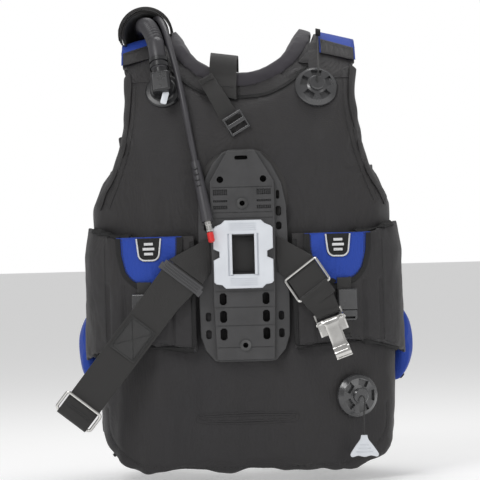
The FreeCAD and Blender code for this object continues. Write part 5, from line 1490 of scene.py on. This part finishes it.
valve_plastic = surfaced("black_valve_plastic", grain, (0.024, 0.024, 0.025), (0.052, 0.052, 0.055),
                         (0.16, 0.3), 6e-05, 900.0, specular=0.75, coat=0.3, coat_rough=0.12)
repaint(valve_plastic, "upper_dump_valve", "lower_dump_valve", "ladder_buckle")
elbow_plastic = surfaced("black_elbow_plastic", grain, (0.009, 0.009, 0.01), (0.022, 0.022, 0.024),
                         (0.24, 0.4), 6e-05, 900.0, specular=0.5, coat=0.15, coat_rough=0.2)
repaint(elbow_plastic, "elbow_flange", "hose_elbow", "inflator_body", "hose_clamps", "upper_dump_knob")
buckle_plastic = surfaced("black_acetal", grain, (0.022, 0.022, 0.023), (0.046, 0.046, 0.048), (0.18, 0.32),
                          6e-05, 1000.0, specular=0.7, coat=0.25, coat_rough=0.15)
repaint(buckle_plastic, "left_pocket_buckle", "right_pocket_buckle", "left_pocket_clip",
        "right_pocket_clip", "chest_buckle", "chest_clip")
button_plastic = surfaced("grey_button_plastic", grain, (0.26, 0.27, 0.28), (0.36, 0.37, 0.39), (0.3, 0.45),
                          5e-05, 900.0, specular=0.5)
repaint(button_plastic, "inflate_button", "deflate_button")
red_vinyl = surfaced("red_vinyl", grain, (0.55, 0.012, 0.012), (0.72, 0.03, 0.025), (0.25, 0.38), 5e-05,
                     700.0, specular=0.5)
repaint(red_vinyl, "hose_cap")
repaint(hose_rubber, "mouthpiece")

tab_axes = own_axes((-106.5, 12.5, 254.5), (0.966, 0, -0.259), (0, -1, 0.30))
tab = bmesh.new()
block(tab, Matrix.Identity(4), (0.009, 0.019, 0.0034))
rounded(tab, [edge for edge in tab.edges if abs(edge.verts[0].co.z - edge.verts[1].co.z) > 0.001], 0.0022,
        4)
rounded(tab, tab.edges, 0.0005, 2)
bmesh.ops.transform(tab, verts=tab.verts, matrix=in_metres(tab_axes))
dressed(finished_mesh("elbow_locking_tab", tab), pad_plastic, "root", "pad_plastic")

# four short slots moulded across the bend protector of the low-pressure hose
sleeve_top = Vector((-65.3, 9, 162))
sleeve_way = (Vector((-49.4, -12.6, 75.7)) - sleeve_top).normalized()
sleeve_side = Vector((1, 0, 0)) - sleeve_way * sleeve_way.x
slots = bmesh.new()
for slot in range(4):
    spot = sleeve_top + sleeve_way * (12 + 8.4 * slot)
    facing = Vector((-0.25, -1, 0)) - sleeve_way * Vector((-0.25, -1, 0)).dot(sleeve_way)
    place = own_axes(spot + facing.normalized() * 7.9, sleeve_side, facing)
    block(slots, in_metres(place), (0.0072, 0.0017, 0.0022))
rounded(slots, slots.edges, 0.0005, 2)
dressed(finished_mesh("bend_protector_slots", slots), elbow_plastic, "root", "hose_rubber")

# the lower pull knob: a pale fan-shaped grip with a scalloped foot
fan = bmesh.new()
knob_low, knob_high = (Vector(corner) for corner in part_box("lower_dump_knob"))
knob_middle = (knob_low + knob_high) * 0.5
tall = knob_high.z - knob_low.z
half_wide = (knob_high.x - knob_low.x) * 0.5
profile = [(-0.22, 0.5), (-0.3, 0.3), (-0.62, 0.02), (-0.95, -0.3), (-1.0, -0.42), (-0.86, -0.5),
           (-0.45, -0.44), (0.0, -0.5), (0.45, -0.44), (0.86, -0.5), (1.0, -0.42), (0.95, -0.3),
           (0.62, 0.02), (0.3, 0.3), (0.22, 0.5)]
outline = [(x * half_wide, z * tall) for x, z in smoothed(profile, 4)]
ring_of_points = [fan.verts.new((knob_middle.x + x, knob_middle.y + 0.0032, knob_middle.z + z)) for x,
                  z in outline]
face = fan.faces.new(ring_of_points)
drawn = bmesh.ops.extrude_face_region(fan, geom=[face])["geom"]
bmesh.ops.translate(fan, verts=[part for part in drawn if isinstance(part, bmesh.types.BMVert)],
                    vec=(0, -0.0064, 0))
bmesh.ops.recalc_face_normals(fan, faces=fan.faces)
rims = [edge for edge in fan.edges if abs(edge.verts[0].co.y - edge.verts[1].co.y) < 1e-6]
rounded(fan, rims, 0.0013, 3)
for groove in range(3):
    place = Matrix.Translation(knob_middle + Vector((0, -0.0033, (-0.26 + 0.16 * groove) * tall)))
    block(fan, place, (half_wide * (1.2 - 0.3 * groove), 0.001, 0.0009))
dressed(finished_mesh("lower_pull_knob", fan), pad_plastic, "lower_knob", "pad_plastic", "lower_dump_knob")

# the small loop of webbing that the upper pull cord runs through
loop_rows = []
for step in range(13):
    angle = math.radians(-70 + 320 * step / 12)
    loop_rows.append((Vector((113.6, 97 + 3.4 * math.cos(angle), 349.2 + 4.4 * math.sin(angle))) * 0.001,
                      Vector((120.6, 97 + 3.4 * math.cos(angle), 347.6 + 4.4 * math.sin(angle))) * 0.001,
                      Vector((0, math.cos(angle), math.sin(angle)))))
tape("pull_cord_loop", loop_rows, 0.0010, trim_nylon, "root", "webbing", lanes=3, bevel=0)
